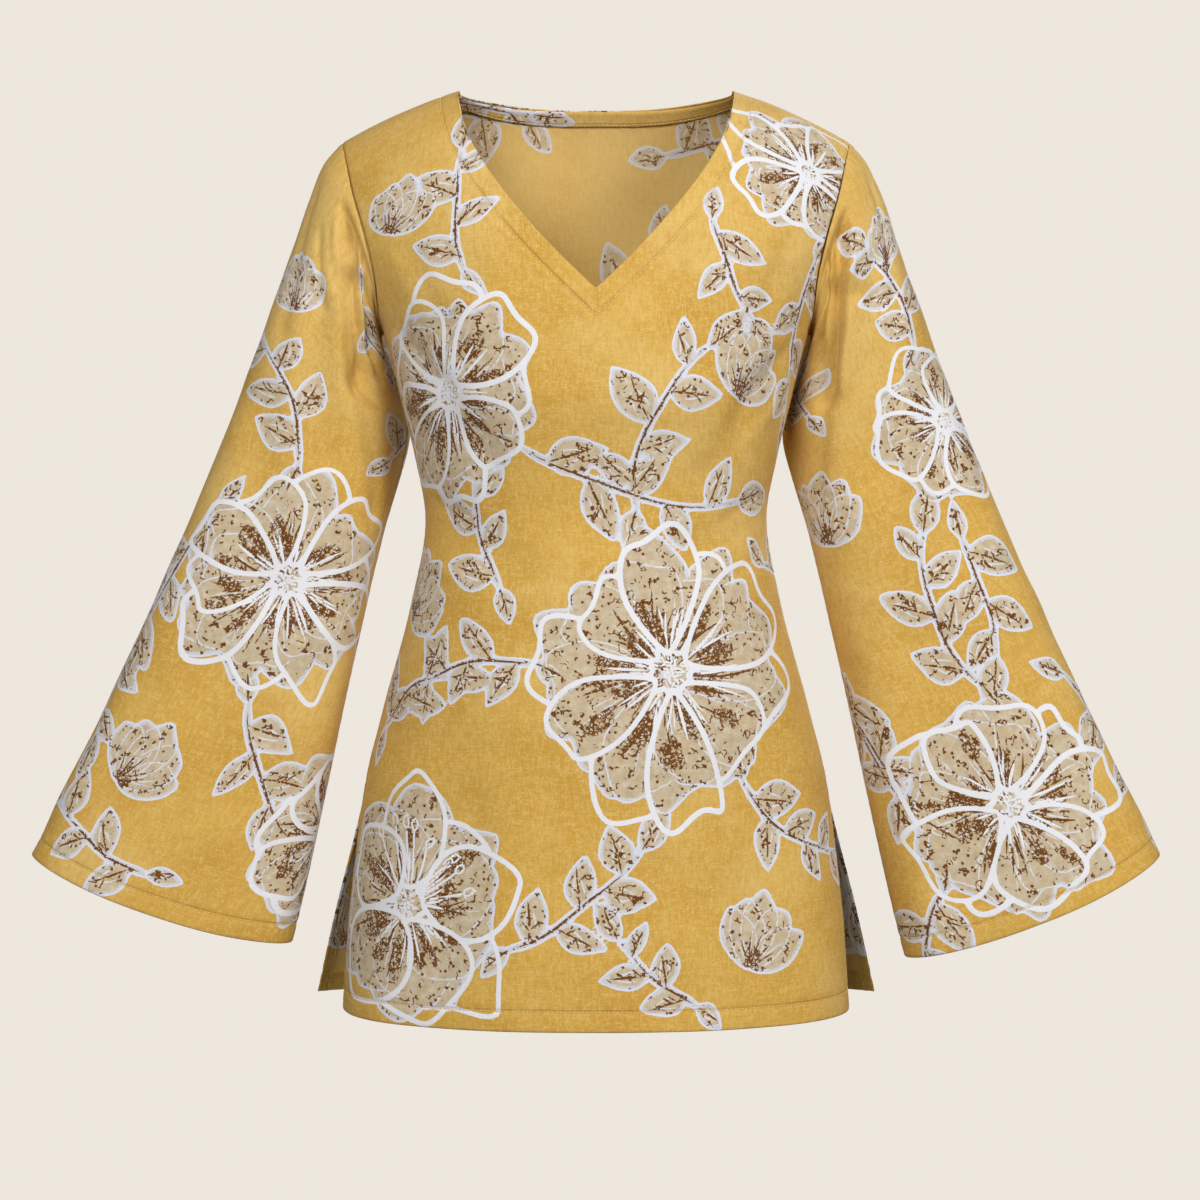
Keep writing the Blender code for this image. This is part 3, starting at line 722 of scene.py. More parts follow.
SLEEVE_FOLDS = {
    "left": round_the_arm(
        (112, 30, 128, 150, 17, 10),
        (75, 90, 100, 250, 18, 5),
        (50, 200, 75, 330, 22, 3.5),
        (-110, 40, -130, 160, 18, 9),
        (-70, 120, -95, 300, 22, 4.5),
        (100, 400, 108, 605, 30, 4.5),
        (-80, 380, -72, 605, 30, 6),
        (134, 20, 150, 110, 7, 3),
        (92, 18, 106, 90, 8, -2.2),
        (60, 118, 94, 92, 7, 3),
        (120, 170, 146, 260, 10, 2.6),
        (84, 290, 112, 380, 12, 2),
        (40, 30, 56, 130, 10, 1.8),
        (60, 430, 66, 605, 18, 2),
        (140, 380, 138, 605, 18, -2),
        (-60, 50, -84, 130, 9, 2.2),
        (-136, 180, -120, 300, 12, 2.4),
        (-120, 420, -128, 605, 20, 2.6),
        (100, 70, 113, 165, 11, -3.4),
        (116, 110, 132, 190, 8, 3.4),
        (146, 20, 96, 23, 10, 5),
        (152, 46, 104, 86, 10, 4.6),
        (150, 88, 122, 176, 12, 5.2),
        (136, 50, 108, 66, 9, -2.4),
    ),
    "right": round_the_arm(
        (110, 35, 130, 160, 18, 11),
        (80, 110, 98, 240, 16, 4.5),
        (60, 230, 88, 350, 22, 3.5),
        (-112, 40, -130, 150, 18, 9),
        (-75, 130, -100, 310, 22, 4.5),
        (85, 420, 95, 605, 30, 4),
        (-85, 400, -75, 605, 30, 6),
        (136, 22, 148, 130, 7, 3.2),
        (88, 20, 104, 110, 8, -2.4),
        (70, 60, 84, 110, 7, 1.8),
        (124, 190, 150, 270, 10, 2.8),
        (96, 270, 124, 350, 12, 2),
        (36, 40, 50, 150, 10, 1.8),
        (52, 450, 56, 605, 18, 2),
        (128, 400, 132, 605, 18, 2.2),
        (-62, 60, -80, 150, 9, 2.2),
        (-140, 200, -118, 290, 12, 2.4),
        (-118, 440, -124, 605, 20, 2.8),
        (103, 90, 116, 170, 9, 4.4),
        (118, 60, 140, 120, 9, -3),
        (148, 19, 92, 21, 10, 5.2),
        (152, 42, 100, 78, 10, 5),
        (150, 82, 116, 164, 12, 5.6),
        (136, 46, 104, 60, 9, -2.6),
    ),
}
print("creases:", len(FRONT_FOLDS), len(BACK_FOLDS), [len(folds) for folds in SLEEVE_FOLDS.values()])

# %% Pressing the creases in
HELD_SHARE = 2 / 13  # of a panel's width, where the folds die away towards its side edge
HELD_ALONG = 0.030  # of a sleeve, where they die away towards the armhole
SEAM_ROLL, SEAM_ROLL_WIDTH = 0.0013, 0.0024
SLEEVE_ROLL = 0.7  # a sleeve rolls over at its seams by this share of that
EDGE_ROLL, EDGE_ROLL_WIDTH = 0.0005, 0.0012
RUMPLE_WAVES = 26
RUMPLE, RUMPLE_LENGTHS, RUMPLE_FADE = 0.00034, (0.022, 0.085), 0.03
PUCKER = 0.00030
PUCKER_STEP = 0.0115
PUCKER_REACH = 0.007
TUCK = (0.0080, -0.46, 0.06)  # how far the sleeve folds in behind the body, at which turn, and how widely
TUCK_BACK = (0.022, 0.492, 0.085)
TUCK_RISE, TUCK_FALL = (0.020, 0.165), (0.200, 0.290)
STITCH_SINK = 0.00050
STITCH_SINK_WIDTH = 0.0021
STITCH_REACH = 0.016
STITCH_PUCKER = 0.9  # a row of stitches gathers the cloth by this share of what a seam does


def sink(folds, across, height, scale=1.0):
    """How far the cloth sinks in at each point, for all the folds together."""
    total = np.zeros(across.shape)
    for fold in folds:
        run = np.array([(fold.across_end - fold.across) * scale, fold.height_end - fold.height])
        from_start = np.array([(across - fold.across) * scale, height - fold.height])
        share = np.clip(np.tensordot(run, from_start, 1) / (run @ run), 0, 1)
        off = np.hypot(from_start[0] - share * run[0], from_start[1] - share * run[1])
        total = total + fold.depth * np.exp(-((off / fold.width) ** 2))
    return total


def rumple(across, along, seed):
    """A low uneven swell, as linen keeps after it is ironed: the sum of a few waves of mixed size and way."""
    rng = np.random.default_rng(seed)
    total = np.zeros(across.shape)
    for _ in range(RUMPLE_WAVES):
        length = rng.uniform(*RUMPLE_LENGTHS)
        way = rng.uniform(0, math.pi)
        run = across * math.cos(way) + along * math.sin(way)
        total += np.sin(run * 2 * math.pi / length + rng.uniform(0, 6.3)) * length / 0.05
    return RUMPLE * total / math.sqrt(RUMPLE_WAVES)


def pucker(distance, along, seed):
    """Small gathers beside a seam, where the thread has drawn the cloth in a little."""
    rng = np.random.default_rng(seed)
    phase = rng.uniform(0, 6.3)
    uneven = np.sin(along * 47 + phase) + 0.6 * np.sin(along * 113 + 2 * phase)
    return PUCKER * np.exp(-distance / PUCKER_REACH) * np.sin(along * 2 * math.pi / PUCKER_STEP + 1.6 * uneven)


def rolled(distance, roll, width):
    return roll * np.clip(1 - distance / width, 0, 1) ** 2


def rolled_where(seam, distance):
    """An edge rolls over, and further where it is sewn to another piece."""
    in_seam, free = rolled(distance, SEAM_ROLL, SEAM_ROLL_WIDTH), rolled(distance, EDGE_ROLL, EDGE_ROLL_WIDTH)
    return np.where(seam, in_seam, free)


def sunk_by_stitches(name, seed):
    """The dip and the small gathers along every row of stitches."""
    grid = grids[name]
    flat = np.stack([grid.across.ravel(), grid.along.ravel()], -1)
    total = np.zeros(len(flat))
    for number, row in enumerate(sewn[name]):
        near = close_to(flat, row, STITCH_REACH)
        gap = nearest(flat[near], row[:-1], row[1:])[0]
        line = flat[near] @ (0.8, 0.6) if abs(row[0] - row[-1]).min() > 0.01 else flat[near].sum(1)
        total[near] -= STITCH_SINK * np.exp(-((gap / STITCH_SINK_WIDTH) ** 2))
        total[near] += STITCH_PUCKER * pucker(gap, line, seed + number)
    return total.reshape(grid.across.shape)


def tucked(grid, hand):
    """Under the arm the sleeve's cloth folds in behind the body's side."""
    along = -grid.along
    rise, fall = (eased((along - start) / (end - start)) for start, end in (TUCK_RISE, TUCK_FALL))
    total = 0
    for way, most, turn, spread in (((-SIDES[hand], 0, 0), *TUCK), ((0, 1, 0), *TUCK_BACK)):
        away = (sleeve_turns - turn + 0.5) % 1 - 0.5
        total = total + (most * np.exp(-((away / spread) ** 2)) * rise * (1 - fall))[..., None] * way
    return total


def press(name, seed):
    """The grid's points, moved in and out along the cloth's own way out."""
    grid = grids[name]
    if name in levels:
        height = levels[name]
        held = eased(grid.edge_side / (grid.edge_side + abs(grid.across)) / HELD_SHARE)
        folds = FRONT_FOLDS if name == "front" else BACK_FOLDS
        move = -sink(folds, grid.across, height) * held
        in_seam = height > SLIT_TOP
        columns = np.arange(grid.across.shape[1]) - grid.across.shape[1] // 2
        side = rolled_where(in_seam, grid.edge_side)
        move -= np.maximum(side, rolled_where(abs(columns) >= NECK_COLUMNS, grid.edge_top))
        move -= rolled(grid.along - grid.along.min(), EDGE_ROLL, EDGE_ROLL_WIDTH)
        move += pucker(grid.edge_side, grid.along, seed) * held**0.2 * in_seam
    else:
        hand = name.split("_")[1]
        degrees = np.repeat(sleeve_turns[None] * 360, grid.across.shape[0], 0)
        along = -grid.along
        held = eased(along / HELD_ALONG)
        move = -held * sum(sink(SLEEVE_FOLDS[hand], degrees + turn, along, PER_DEGREE) for turn in (0, 360, -360))
        for distance in (grid.edge_side, along):
            move -= rolled(distance, SEAM_ROLL * SLEEVE_ROLL, SEAM_ROLL_WIDTH)
        move -= rolled(along.max() - along, EDGE_ROLL, EDGE_ROLL_WIDTH)
        move += pucker(along, grid.across, seed) + 0.5 * pucker(grid.edge_side, grid.along, seed + 1)
    move += sunk_by_stitches(name, 10 * seed)
    near_edge = np.minimum(grid.edge_side, grid.edge_top)
    move += rumple(grid.across, grid.along, seed) * eased(near_edge / RUMPLE_FADE)
    moved = grid.points + grid.normals * move[..., None]
    return moved if name in levels else moved + tucked(grid, hand)


SEEDS = {"front": 11, "back": 12, "sleeve_left": 13, "sleeve_right": 14}
shapes = {name: press(name, seed) for name, seed in SEEDS.items()}
shapes["back_neck_facing"] = grids["back_neck_facing"].points
for name, shape in shapes.items():
    moved = np.linalg.norm(shape - grids[name].points, axis=-1)
    print(name, "moved by up to", round(1000 * moved.max(), 1), "mm")

# %% [markdown]
# ## Drawing the print
# The cloth is printed with big open flowers, buds and leafy sprays: a brown-grey fill with a pale edge, bold
# white brush lines laid a little off the fill, and dark specks. It is drawn here as a sign painter would, from
# a few formulas for a petal, a leaf and a stem, each made uneven by its own seed, and set out by short tables
# for each cut piece. A drawing is only lines on flat cloth; nothing is put on the mesh yet.

# %% Strokes and loops
TAU = 2 * math.pi
Stroke = namedtuple("Stroke", "line halves closed")  # halves: half of its width at each point
Drawing = namedtuple("Drawing", "fills bold fine veins patches")


def empty_drawing():
    return Drawing([], [], [], [], [])


def turned_to(line, turn, x, y):
    """A line turned about its start and moved to its place on the cloth."""
    c, s = math.cos(turn), math.sin(turn)
    return line @ np.array([[c, s], [-s, c]]) + (x, y)


def uneven(rng, count, amount, waves=4):
    """A smooth random wobble round a closed line."""
    t = np.linspace(0, TAU, count)
    parts = [rng.normal() / k * np.sin(k * t + rng.uniform(0, TAU)) for k in range(1, waves + 1)]
    return amount * np.sum(parts, 0)


def inside(points, loop):
    x, y = points[:, :1], points[:, 1:]
    a, b = loop, np.roll(loop, -1, 0)
    crosses = (a[:, 1] > y) != (b[:, 1] > y)
    rise = np.where(b[:, 1] == a[:, 1], 1e-12, b[:, 1] - a[:, 1])
    return (crosses & (x < a[:, 0] + (y - a[:, 1]) * (b[:, 0] - a[:, 0]) / rise)).sum(1) % 2 == 1


def brush(line, half, taper=0.25):
    """An open stroke that thins out at both ends."""
    t = np.linspace(0, 1, len(line))
    return Stroke(line, half * np.minimum(1, np.minimum(t, 1 - t) / taper) ** 0.6, False)


def loop_stroke(line, half):
    return Stroke(line, np.full(len(line), half), True)


def showing(stroke, covers):
    """The parts of a stroke that no petal lying over it hides."""
    hidden = np.zeros(len(stroke.line), bool)
    for loop in covers:
        hidden |= inside(stroke.line, loop)
    if not hidden.any():
        return [stroke]
    cuts = np.flatnonzero(np.diff(hidden)) + 1
    runs = zip(np.split(stroke.line, cuts), np.split(stroke.halves, cuts), np.split(hidden, cuts))
    return [Stroke(line, halves, False) for line, halves, gone in runs if not gone[0] and len(line) > 2]


def petal(rng, length, width, foot, pointed, ripple=0.045, points=36):
    """A petal along +x, from its foot round its tip and back."""
    t = np.linspace(0, TAU, points)
    share = (1 - np.cos(t)) / 2
    blunt = 1.66 * share**0.75 * (1 - share**2.5).clip(0) ** 0.5
    sharp = 1.15 * np.sin(math.pi * share**0.8).clip(0) ** 0.85
    half = width * (blunt * (1 - pointed) + sharp * pointed)
    reach = 1 + (1 - pointed) * ripple * share**2 * np.sin(4 * t + rng.uniform(0, TAU))
    x = (foot + (length - foot) * share) * (reach + uneven(rng, points, 0.03) * share)
    y = np.sign(np.sin(t)) * half * (1 + uneven(rng, points, 0.08)) + 0.04 * length * rng.normal() * share**2
    return np.stack([x, y], -1)


def curve(length, bend, points=12, start=0.0):
    """A line that sets out along +x and bends steadily."""
    s = np.linspace(start, 1, points)
    way = bend * s
    step = np.stack([np.cos(way), np.sin(way)], -1)[:-1] * length * np.diff(s)[:, None]
    return np.concatenate([[[start * length, 0]], [[start * length, 0]] + np.cumsum(step, 0)])


print("a stroke 50 mm long reaches", np.round(curve(0.050, 1.0)[-1], 4), "m when it bends by a radian")


# %% Leaves and sprays
Spray = namedtuple("Spray", "across along turn length bend leaves leaf seed")
LEAF_RIB, LEAF_VEIN, STEM_VEIN = 0.0010, 0.0008, 0.0011  # half of each brush's width
STEM_HALVES = (0.0034, 0.0024)
STEM_POINTS = 26


def draw_leaf(drawing, rng, x, y, turn, length):
    put = lambda line: turned_to(line, turn, x, y)
    width = length * rng.uniform(0.21, 0.29)
    loop = petal(rng, length, width, 0.0, 1.0, ripple=0.02)
    loop[:, 1] += 0.14 * length * rng.uniform(-1, 1) * (loop[:, 0] / length) ** 2
    drawing.fills.append(put(loop))
    drawing.veins.append(brush(put(curve(length * 0.78, rng.uniform(-0.25, 0.25))), LEAF_RIB))
    for side in (-1, 1):
        streak = curve(length * rng.uniform(0.30, 0.5), 0.5 * side) + (length * 0.24, -side * width * 0.42)
        drawing.fine.append(brush(put(streak), LEAF_RIB))
    for share in rng.uniform(0.15, 0.6, 2):
        way = rng.choice([-1, 1])
        vein = turned_to(curve(length * 0.24, 0.4 * way, 6), way * 0.6, share * length * 0.8, 0.0)
        drawing.veins.append(brush(put(vein), LEAF_VEIN))


def ribbon(line, halves):
    """The closed outline of a stem."""
    way = np.gradient(line, axis=0)
    aside = np.stack([-way[:, 1], way[:, 0]], -1) / np.linalg.norm(way, axis=1)[:, None]
    return np.concatenate([line + aside * halves[:, None], (line - aside * halves[:, None])[::-1]])


def draw_spray(spray):
    rng = np.random.default_rng(spray.seed)
    drawing = empty_drawing()
    bend, turn = math.radians(spray.bend), math.radians(spray.turn)
    stem = curve(spray.length, bend, STEM_POINTS)
    last = STEM_POINTS - 1
    stem[:, 1] += 0.012 * spray.length * np.sin(np.linspace(0, 9, STEM_POINTS) + rng.uniform(0, TAU))
    stem = turned_to(stem, turn, spray.across, spray.along)
    halves = np.linspace(*STEM_HALVES, STEM_POINTS) * np.minimum(1, 0.45 + np.arange(STEM_POINTS) / 5)
    drawing.fills.append(ribbon(stem, halves))
    drawing.veins.append(brush(stem[2:-4], STEM_VEIN))
    for i in range(spray.leaves):
        at = last * (0.16 + 0.80 * i / max(spray.leaves - 0.3, 1)) + rng.uniform(-0.4, 0.4)
        k = int(at)
        spot = stem[k] + (stem[min(k + 1, last)] - stem[k]) * (at - k)
        side = -1 if i % 2 else 1
        way = turn + bend * at / last + side * rng.uniform(0.72, 1.08)
        smaller = 1.1 - 0.25 * i / spray.leaves  # leaves grow smaller towards the tip
        draw_leaf(drawing, rng, *spot, way, spray.leaf * rng.uniform(0.82, 1.12) * smaller)
    draw_leaf(drawing, rng, *stem[-1], turn + bend + rng.uniform(-0.2, 0.2), spray.leaf * 0.95)
    draw_leaf(drawing, rng, *stem[1], turn + math.pi + rng.uniform(-0.5, 0.5), spray.leaf * 0.72)
    return drawing


# %% Ribs of a petal
Ribs = namedtuple("Ribs", "count reach bend points start lean half taper")  # two numbers: drawn between them
BUD_RIBS = Ribs(2, (0.45, 0.7), 0.3, 8, 0.2, 0.12, 0.0008, 0.25)
PETAL_RIBS = Ribs(2, (0.5, 0.85), 0.35, 10, (0.2, 0.5), 0.16, (0.0006, 0.0010), 0.25)
PETAL_VEINS = Ribs(3, (0.3, 0.75), 0.6, 8, (0.25, 0.55), 0.2, (0.0006, 0.0013), 0.25)
BOLD_RIBS = Ribs(3, (0.28, 0.6), 0.4, 9, 0.28, 0.2, (0.0007, 0.0012), 0.35)


def draw_ribs(strokes, rng, ribs, put, way, length):
    """Strokes that run out along a petal."""
    pick = lambda value: rng.uniform(*value) if isinstance(value, tuple) else value
    for _ in range(ribs.count):
        rib = curve(length * pick(ribs.reach), rng.uniform(-ribs.bend, ribs.bend), ribs.points, pick(ribs.start))
        strokes.append(brush(put(rib, way + rng.uniform(-ribs.lean, ribs.lean)), pick(ribs.half), ribs.taper))


# %% Buds
Bud = namedtuple("Bud", "across along turn size seed")
BUD_LEANS = (-0.78, 0.80, -0.42, 0.45, 0.03)
BUD_EDGE, BUD_VEIN = 0.00085, 0.0007


def draw_bud(bud):
    """Petals still folded over each other, drawn as a fan."""
    rng = np.random.default_rng(bud.seed)
    drawing = empty_drawing()
    turn = math.radians(bud.turn)
    put = lambda line, way: turned_to(turned_to(line, way, 0, 0), turn, bud.across, bud.along)
    for lean in BUD_LEANS:
        length = bud.size * rng.uniform(0.86, 1.02) * (1 - 0.16 * abs(lean))
        loop = put(petal(rng, length, bud.size * 0.25, 0.0, 0.35, ripple=0.05), lean * 0.85)
        drawing.fills.append(loop)
        drawing.fine.append(loop_stroke(loop, BUD_EDGE))
        draw_ribs(drawing.fine, rng, BUD_RIBS, put, lean * 0.85, length)
        rib = curve(length * 0.5, rng.uniform(-0.3, 0.3), 8, 0.1)
        drawing.veins.append(brush(put(rib, lean * 0.8), BUD_VEIN))
    drawing.patches.append((bud.across, bud.along, turn, bud.size * 0.34, bud.size * 0.14))
    return drawing


# %% Flowers
Bloom = namedtuple("Bloom", "across along turn size petals pointed seed")
PETAL_EDGE, BEAD, STALK, KNOB = 0.0009, 0.0009, 0.0009, 0.0008  # half of each brush's width
BOLD_EDGE, DAB = (0.0017, 0.0022), (0.0008, 0.0013)
BEAD_SIZE, KNOB_SIZE = (0.0034, 0.0021), (0.0042, 0.0024)
STALKS = 9


def oval(points, size, ahead=0.0):
    t = np.linspace(0, TAU, points)
    return np.stack([np.cos(t) * size[0] + ahead, np.sin(t) * size[1]], -1)


def draw_petals(drawing, rng, bloom, turn, width):
    """Two rings of filled petals, each lying over the one before it."""
    place = lambda line, way: turned_to(line, way, bloom.across, bloom.along)
    size = bloom.size
    loops = []
    for ring, reach in ((0, 0.99), (1, 0.88)):
        for k in range(bloom.petals):
            way = turn + TAU / bloom.petals * (k + 0.5 * ring) + rng.uniform(-0.14, 0.14)
            length = size * reach * rng.uniform(0.86, 1.06)
            loop = petal(rng, length, width * rng.uniform(0.95, 1.25), 0.0, bloom.pointed, 0.07, 48)
            loops.append((place(loop, way), way, length))
    for k, (loop, way, length) in enumerate(loops):
        drawing.fills.append(loop)
        drawing.fine.extend(showing(loop_stroke(loop, PETAL_EDGE), [cover[0] for cover in loops[k + 1 :]]))
        draw_ribs(drawing.fine, rng, PETAL_RIBS, place, way, length)
        draw_ribs(drawing.veins, rng, PETAL_VEINS, place, way, length)
        if rng.random() < 0.75:
            far = length * rng.uniform(0.25, 0.70)
            spot = (bloom.across + far * math.cos(way), bloom.along + far * math.sin(way))
            drawing.patches.append((*spot, way, size * rng.uniform(0.12, 0.26), size * rng.uniform(0.05, 0.11)))


def draw_brushed(drawing, rng, bloom, turn, width, put):
    """The brush's own looser petals, with a few strokes in each."""
    loops = []
    for k in rng.permutation(bloom.petals):
        way = turn + TAU / bloom.petals * (k + 0.25) + rng.uniform(-0.16, 0.16)
        length = bloom.size * rng.uniform(0.80, 1.14)
        wide = width * rng.uniform(0.95, 1.45)
        loop = petal(rng, length, wide, bloom.size * 0.13, bloom.pointed, 0.06, 84)
        loops.append((put(loop, way), way, length))
    for k, (loop, way, length) in enumerate(loops):
        outline = Stroke(loop, np.full(len(loop), rng.uniform(*BOLD_EDGE)), False)
        drawing.bold.extend(showing(outline, [cover[0] for cover in loops[k + 1 :]]))
        draw_ribs(drawing.bold, rng, BOLD_RIBS, put, way, length)


def draw_heart(drawing, rng, bloom, turn, put):
    """Beads and dabs in the middle, and in a pointed flower stalks with a knob at the end of each."""
    size = bloom.size
    for _ in range(bloom.petals + 4):
        way, near = rng.uniform(0, TAU), size * rng.uniform(0.02, 0.14)
        bead = put(oval(9, BEAD_SIZE) * rng.uniform(0.7, 1.3) + (near, 0), way)
        drawing.bold.append(loop_stroke(bead, BEAD))
        dab = curve(size * rng.uniform(0.03, 0.07), 0.3, 4) + (near, 0)
        drawing.bold.append(Stroke(put(dab, way + 0.4), np.full(4, rng.uniform(*DAB)), False))
    if bloom.pointed > 0.5:
        for lean in np.linspace(-1.0, 1.0, STALKS):
            way = turn + 0.6 + lean + rng.uniform(-0.1, 0.1)
            rib = put(curve(size * rng.uniform(0.36, 0.68), rng.uniform(-0.4, 0.4), 9, 0.2), way)
            drawing.bold.append(Stroke(rib, np.full(9, STALK), False))
            knob = turned_to(oval(12, KNOB_SIZE, 0.004), way + rng.uniform(-0.3, 0.3), *rib[-1])
            drawing.bold.append(loop_stroke(knob, KNOB))


def draw_bloom(bloom):
    """An open flower: overlapping filled petals, and the brush's own looser petals laid a little aside."""
    rng = np.random.default_rng(bloom.seed)
    drawing = empty_drawing()
    turn = math.radians(bloom.turn)
    width = bloom.size * 0.80 * math.tan(TAU / bloom.petals / 2)
    draw_petals(drawing, rng, bloom, turn, width)
    aside = np.array([bloom.across, bloom.along]) + bloom.size * rng.uniform(0.02, 0.06, 2)
    put = lambda line, way: turned_to(line, way, *aside)
    draw_brushed(drawing, rng, bloom, turn, width, put)
    draw_heart(drawing, rng, bloom, turn, put)
    return drawing


DRAW = {Spray: draw_spray, Bud: draw_bud, Bloom: draw_bloom}
print("kinds of motif:", [kind.__name__ for kind in DRAW])

# %% Where the flowers fall on each piece
# across is from the middle of the piece, or from the top of the arm, towards the wearer's left. along is how far
# below the shoulder seam or the sleeve's head it is, below nought.
PRINTS = {
    "front": [
        Bloom(0.052, -0.515, 20, 0.106, 10, 0.0, 21),
        Bloom(-0.122, -0.300, 70, 0.082, 9, 0.0, 22),
        Bloom(-0.150, -0.690, 35, 0.092, 8, 0.6, 23),
        Bloom(0.168, -0.105, 10, 0.064, 9, 0.0, 24),
        Bud(0.112, -0.302, 62, 0.062, 25),
        Bud(0.118, -0.735, 70, 0.060, 26),
        Bud(-0.178, -0.470, 40, 0.066, 36),
        Spray(-0.060, -0.335, -38, 0.190, 48, 5, 0.046, 27),
        Spray(0.030, -0.395, 96, 0.150, -62, 5, 0.046, 28),
        Spray(-0.040, -0.505, 172, 0.118, 40, 5, 0.042, 29),
        Spray(0.110, -0.590, -58, 0.140, 62, 6, 0.040, 30),
        Spray(-0.100, -0.210, 105, 0.105, -30, 4, 0.040, 31),
        Spray(0.180, -0.180, -100, 0.130, 25, 4, 0.042, 32),
        Spray(-0.070, -0.720, 20, 0.130, 34, 5, 0.042, 33),
        Spray(0.150, -0.430, -10, 0.090, 20, 3, 0.044, 34),
        Spray(-0.190, -0.560, 60, 0.090, -60, 3, 0.044, 35),
        Spray(0.088, -0.165, -78, 0.085, 24, 3, 0.038, 37),
        Spray(-0.072, -0.452, 122, 0.095, -36, 4, 0.040, 38),
        Spray(0.078, -0.762, 152, 0.080, -24, 4, 0.036, 39),
        Bud(-0.165, -0.165, 66, 0.054, 40),
    ],
    "back": [
        Bloom(-0.060, -0.300, 15, 0.104, 10, 0.0, 41),
        Bloom(0.105, -0.560, 40, 0.098, 10, 0.0, 42),
        Bloom(-0.140, -0.640, 80, 0.080, 8, 0.6, 43),
        Bud(0.098, -0.265, 60, 0.064, 44),
        Bud(-0.010, -0.690, 100, 0.060, 45),
        Spray(-0.128, -0.030, -40, 0.120, 50, 5, 0.042, 46),
        Spray(0.052, -0.092, 12, 0.120, 40, 5, 0.044, 47),
        Spray(0.020, -0.215, 70, 0.080, -50, 3, 0.040, 48),
        Spray(-0.010, -0.400, -48, 0.120, 30, 5, 0.044, 49),
        Spray(-0.130, -0.400, -100, 0.150, 40, 6, 0.042, 50),
        Spray(0.130, -0.330, -70, 0.120, -40, 5, 0.042, 51),
        Spray(0.170, -0.140, 100, 0.090, 30, 3, 0.042, 52),
        Spray(0.010, -0.560, -110, 0.110, 60, 4, 0.040, 53),
        Spray(0.120, -0.700, -20, 0.100, 30, 4, 0.044, 54),
        Bloom(-0.185, -0.140, 0, 0.060, 8, 0.0, 55),
        Bloom(0.222, -0.690, 20, 0.052, 8, 0.0, 56),
        Spray(0.222, -0.520, -88, 0.110, -20, 5, 0.036, 57),
        Spray(-0.222, -0.560, -80, 0.130, -24, 6, 0.036, 58),
        Bud(-0.215, -0.735, 100, 0.046, 59),
    ],
    "sleeve_left": [
        Bloom(-0.120, -0.520, 20, 0.084, 9, 0.0, 61),
        Bloom(-0.045, -0.235, 50, 0.062, 8, 0.0, 62),
        Bud(-0.170, -0.300, 80, 0.058, 63),
        Spray(-0.095, -0.435, 118, 0.130, -60, 5, 0.042, 64),
        Spray(-0.050, -0.170, 80, 0.110, 40, 5, 0.040, 65),
        Spray(-0.030, -0.440, -60, 0.130, -40, 5, 0.042, 66),
        Spray(-0.210, -0.400, -90, 0.110, 30, 4, 0.042, 67),
        Spray(-0.150, -0.190, 120, 0.090, -30, 4, 0.038, 68),
        Spray(-0.190, -0.560, -150, 0.090, 60, 4, 0.040, 69),
        Bloom(0.130, -0.330, 0, 0.080, 9, 0.0, 70),
        Bloom(0.080, -0.560, 30, 0.070, 8, 0.0, 71),
        Spray(0.060, -0.230, 60, 0.130, 30, 5, 0.042, 72),
        Spray(0.150, -0.130, -70, 0.110, 40, 4, 0.042, 73),
        Spray(0.200, -0.450, -70, 0.120, -40, 5, 0.042, 74),
        Spray(-0.068, -0.320, -84, 0.095, -24, 4, 0.042, 75),
        Spray(-0.185, -0.490, 104, 0.085, 24, 4, 0.040, 76),
        Bud(-0.048, -0.088, 70, 0.046, 77),
    ],
    "sleeve_right": [
        Bloom(0.118, -0.345, 10, 0.084, 10, 0.0, 81),
        Bloom(0.245, -0.520, 40, 0.070, 8, 0.0, 82),
        Bud(0.060, -0.520, 60, 0.060, 83),
        Bud(0.055, -0.130, 110, 0.052, 84),
        Spray(0.100, -0.260, 104, 0.130, 50, 5, 0.042, 85),
        Spray(0.130, -0.430, -70, 0.150, 50, 6, 0.042, 86),
        Spray(0.050, -0.300, -118, 0.120, 30, 4, 0.042, 87),
        Spray(0.170, -0.230, 60, 0.100, -30, 4, 0.040, 88),
        Spray(0.210, -0.380, -60, 0.080, 40, 3, 0.040, 89),
        Bloom(-0.110, -0.240, 0, 0.078, 9, 0.0, 90),
        Bloom(-0.090, -0.530, 30, 0.080, 9, 0.0, 91),
        Spray(-0.060, -0.380, -120, 0.130, 30, 5, 0.042, 92),
        Spray(-0.170, -0.110, 60, 0.100, -40, 4, 0.042, 93),
        Spray(-0.190, -0.420, -70, 0.120, 40, 5, 0.042, 94),
        Spray(0.120, -0.578, 176, 0.105, -20, 4, 0.040, 96),
        Spray(0.010, -0.385, -96, 0.110, 24, 5, 0.042, 97),
        Spray(0.205, -0.125, -84, 0.090, 26, 4, 0.038, 98),
        Spray(0.115, -0.060, -62, 0.080, 40, 4, 0.036, 99),
    ],
    "back_neck_facing": [
        Spray(-0.140, -0.012, 12, 0.090, -14, 4, 0.036, 95),
    ],
}
for name, motifs in PRINTS.items():
    print(name, "motifs:", len(motifs))

# %% [markdown]
# ## Putting the drawing on the mesh
# Paint on a mesh can be kept as distances. Each point of the grid keeps how far it is from the edge of the
# nearest fill and from the nearest bold line, counted below nought inside, and the finish draws the edge where
# that number passes nought, which stays sharp however close one looks. A line finer than the grid needs more:
# each face keeps, at its four corners, how far they are to the left or right of the one line that crosses it.

# %% Distances from the drawing
FAR = 9.0  # millimetres, past which no distance matters
REACH = 0.0095
LINE_REACH = 0.0046
THICK = 0.0015
THREAD_GROOVE = 0.0006
LINE_KINDS = ("fine", "vein", "bold", "sewn")


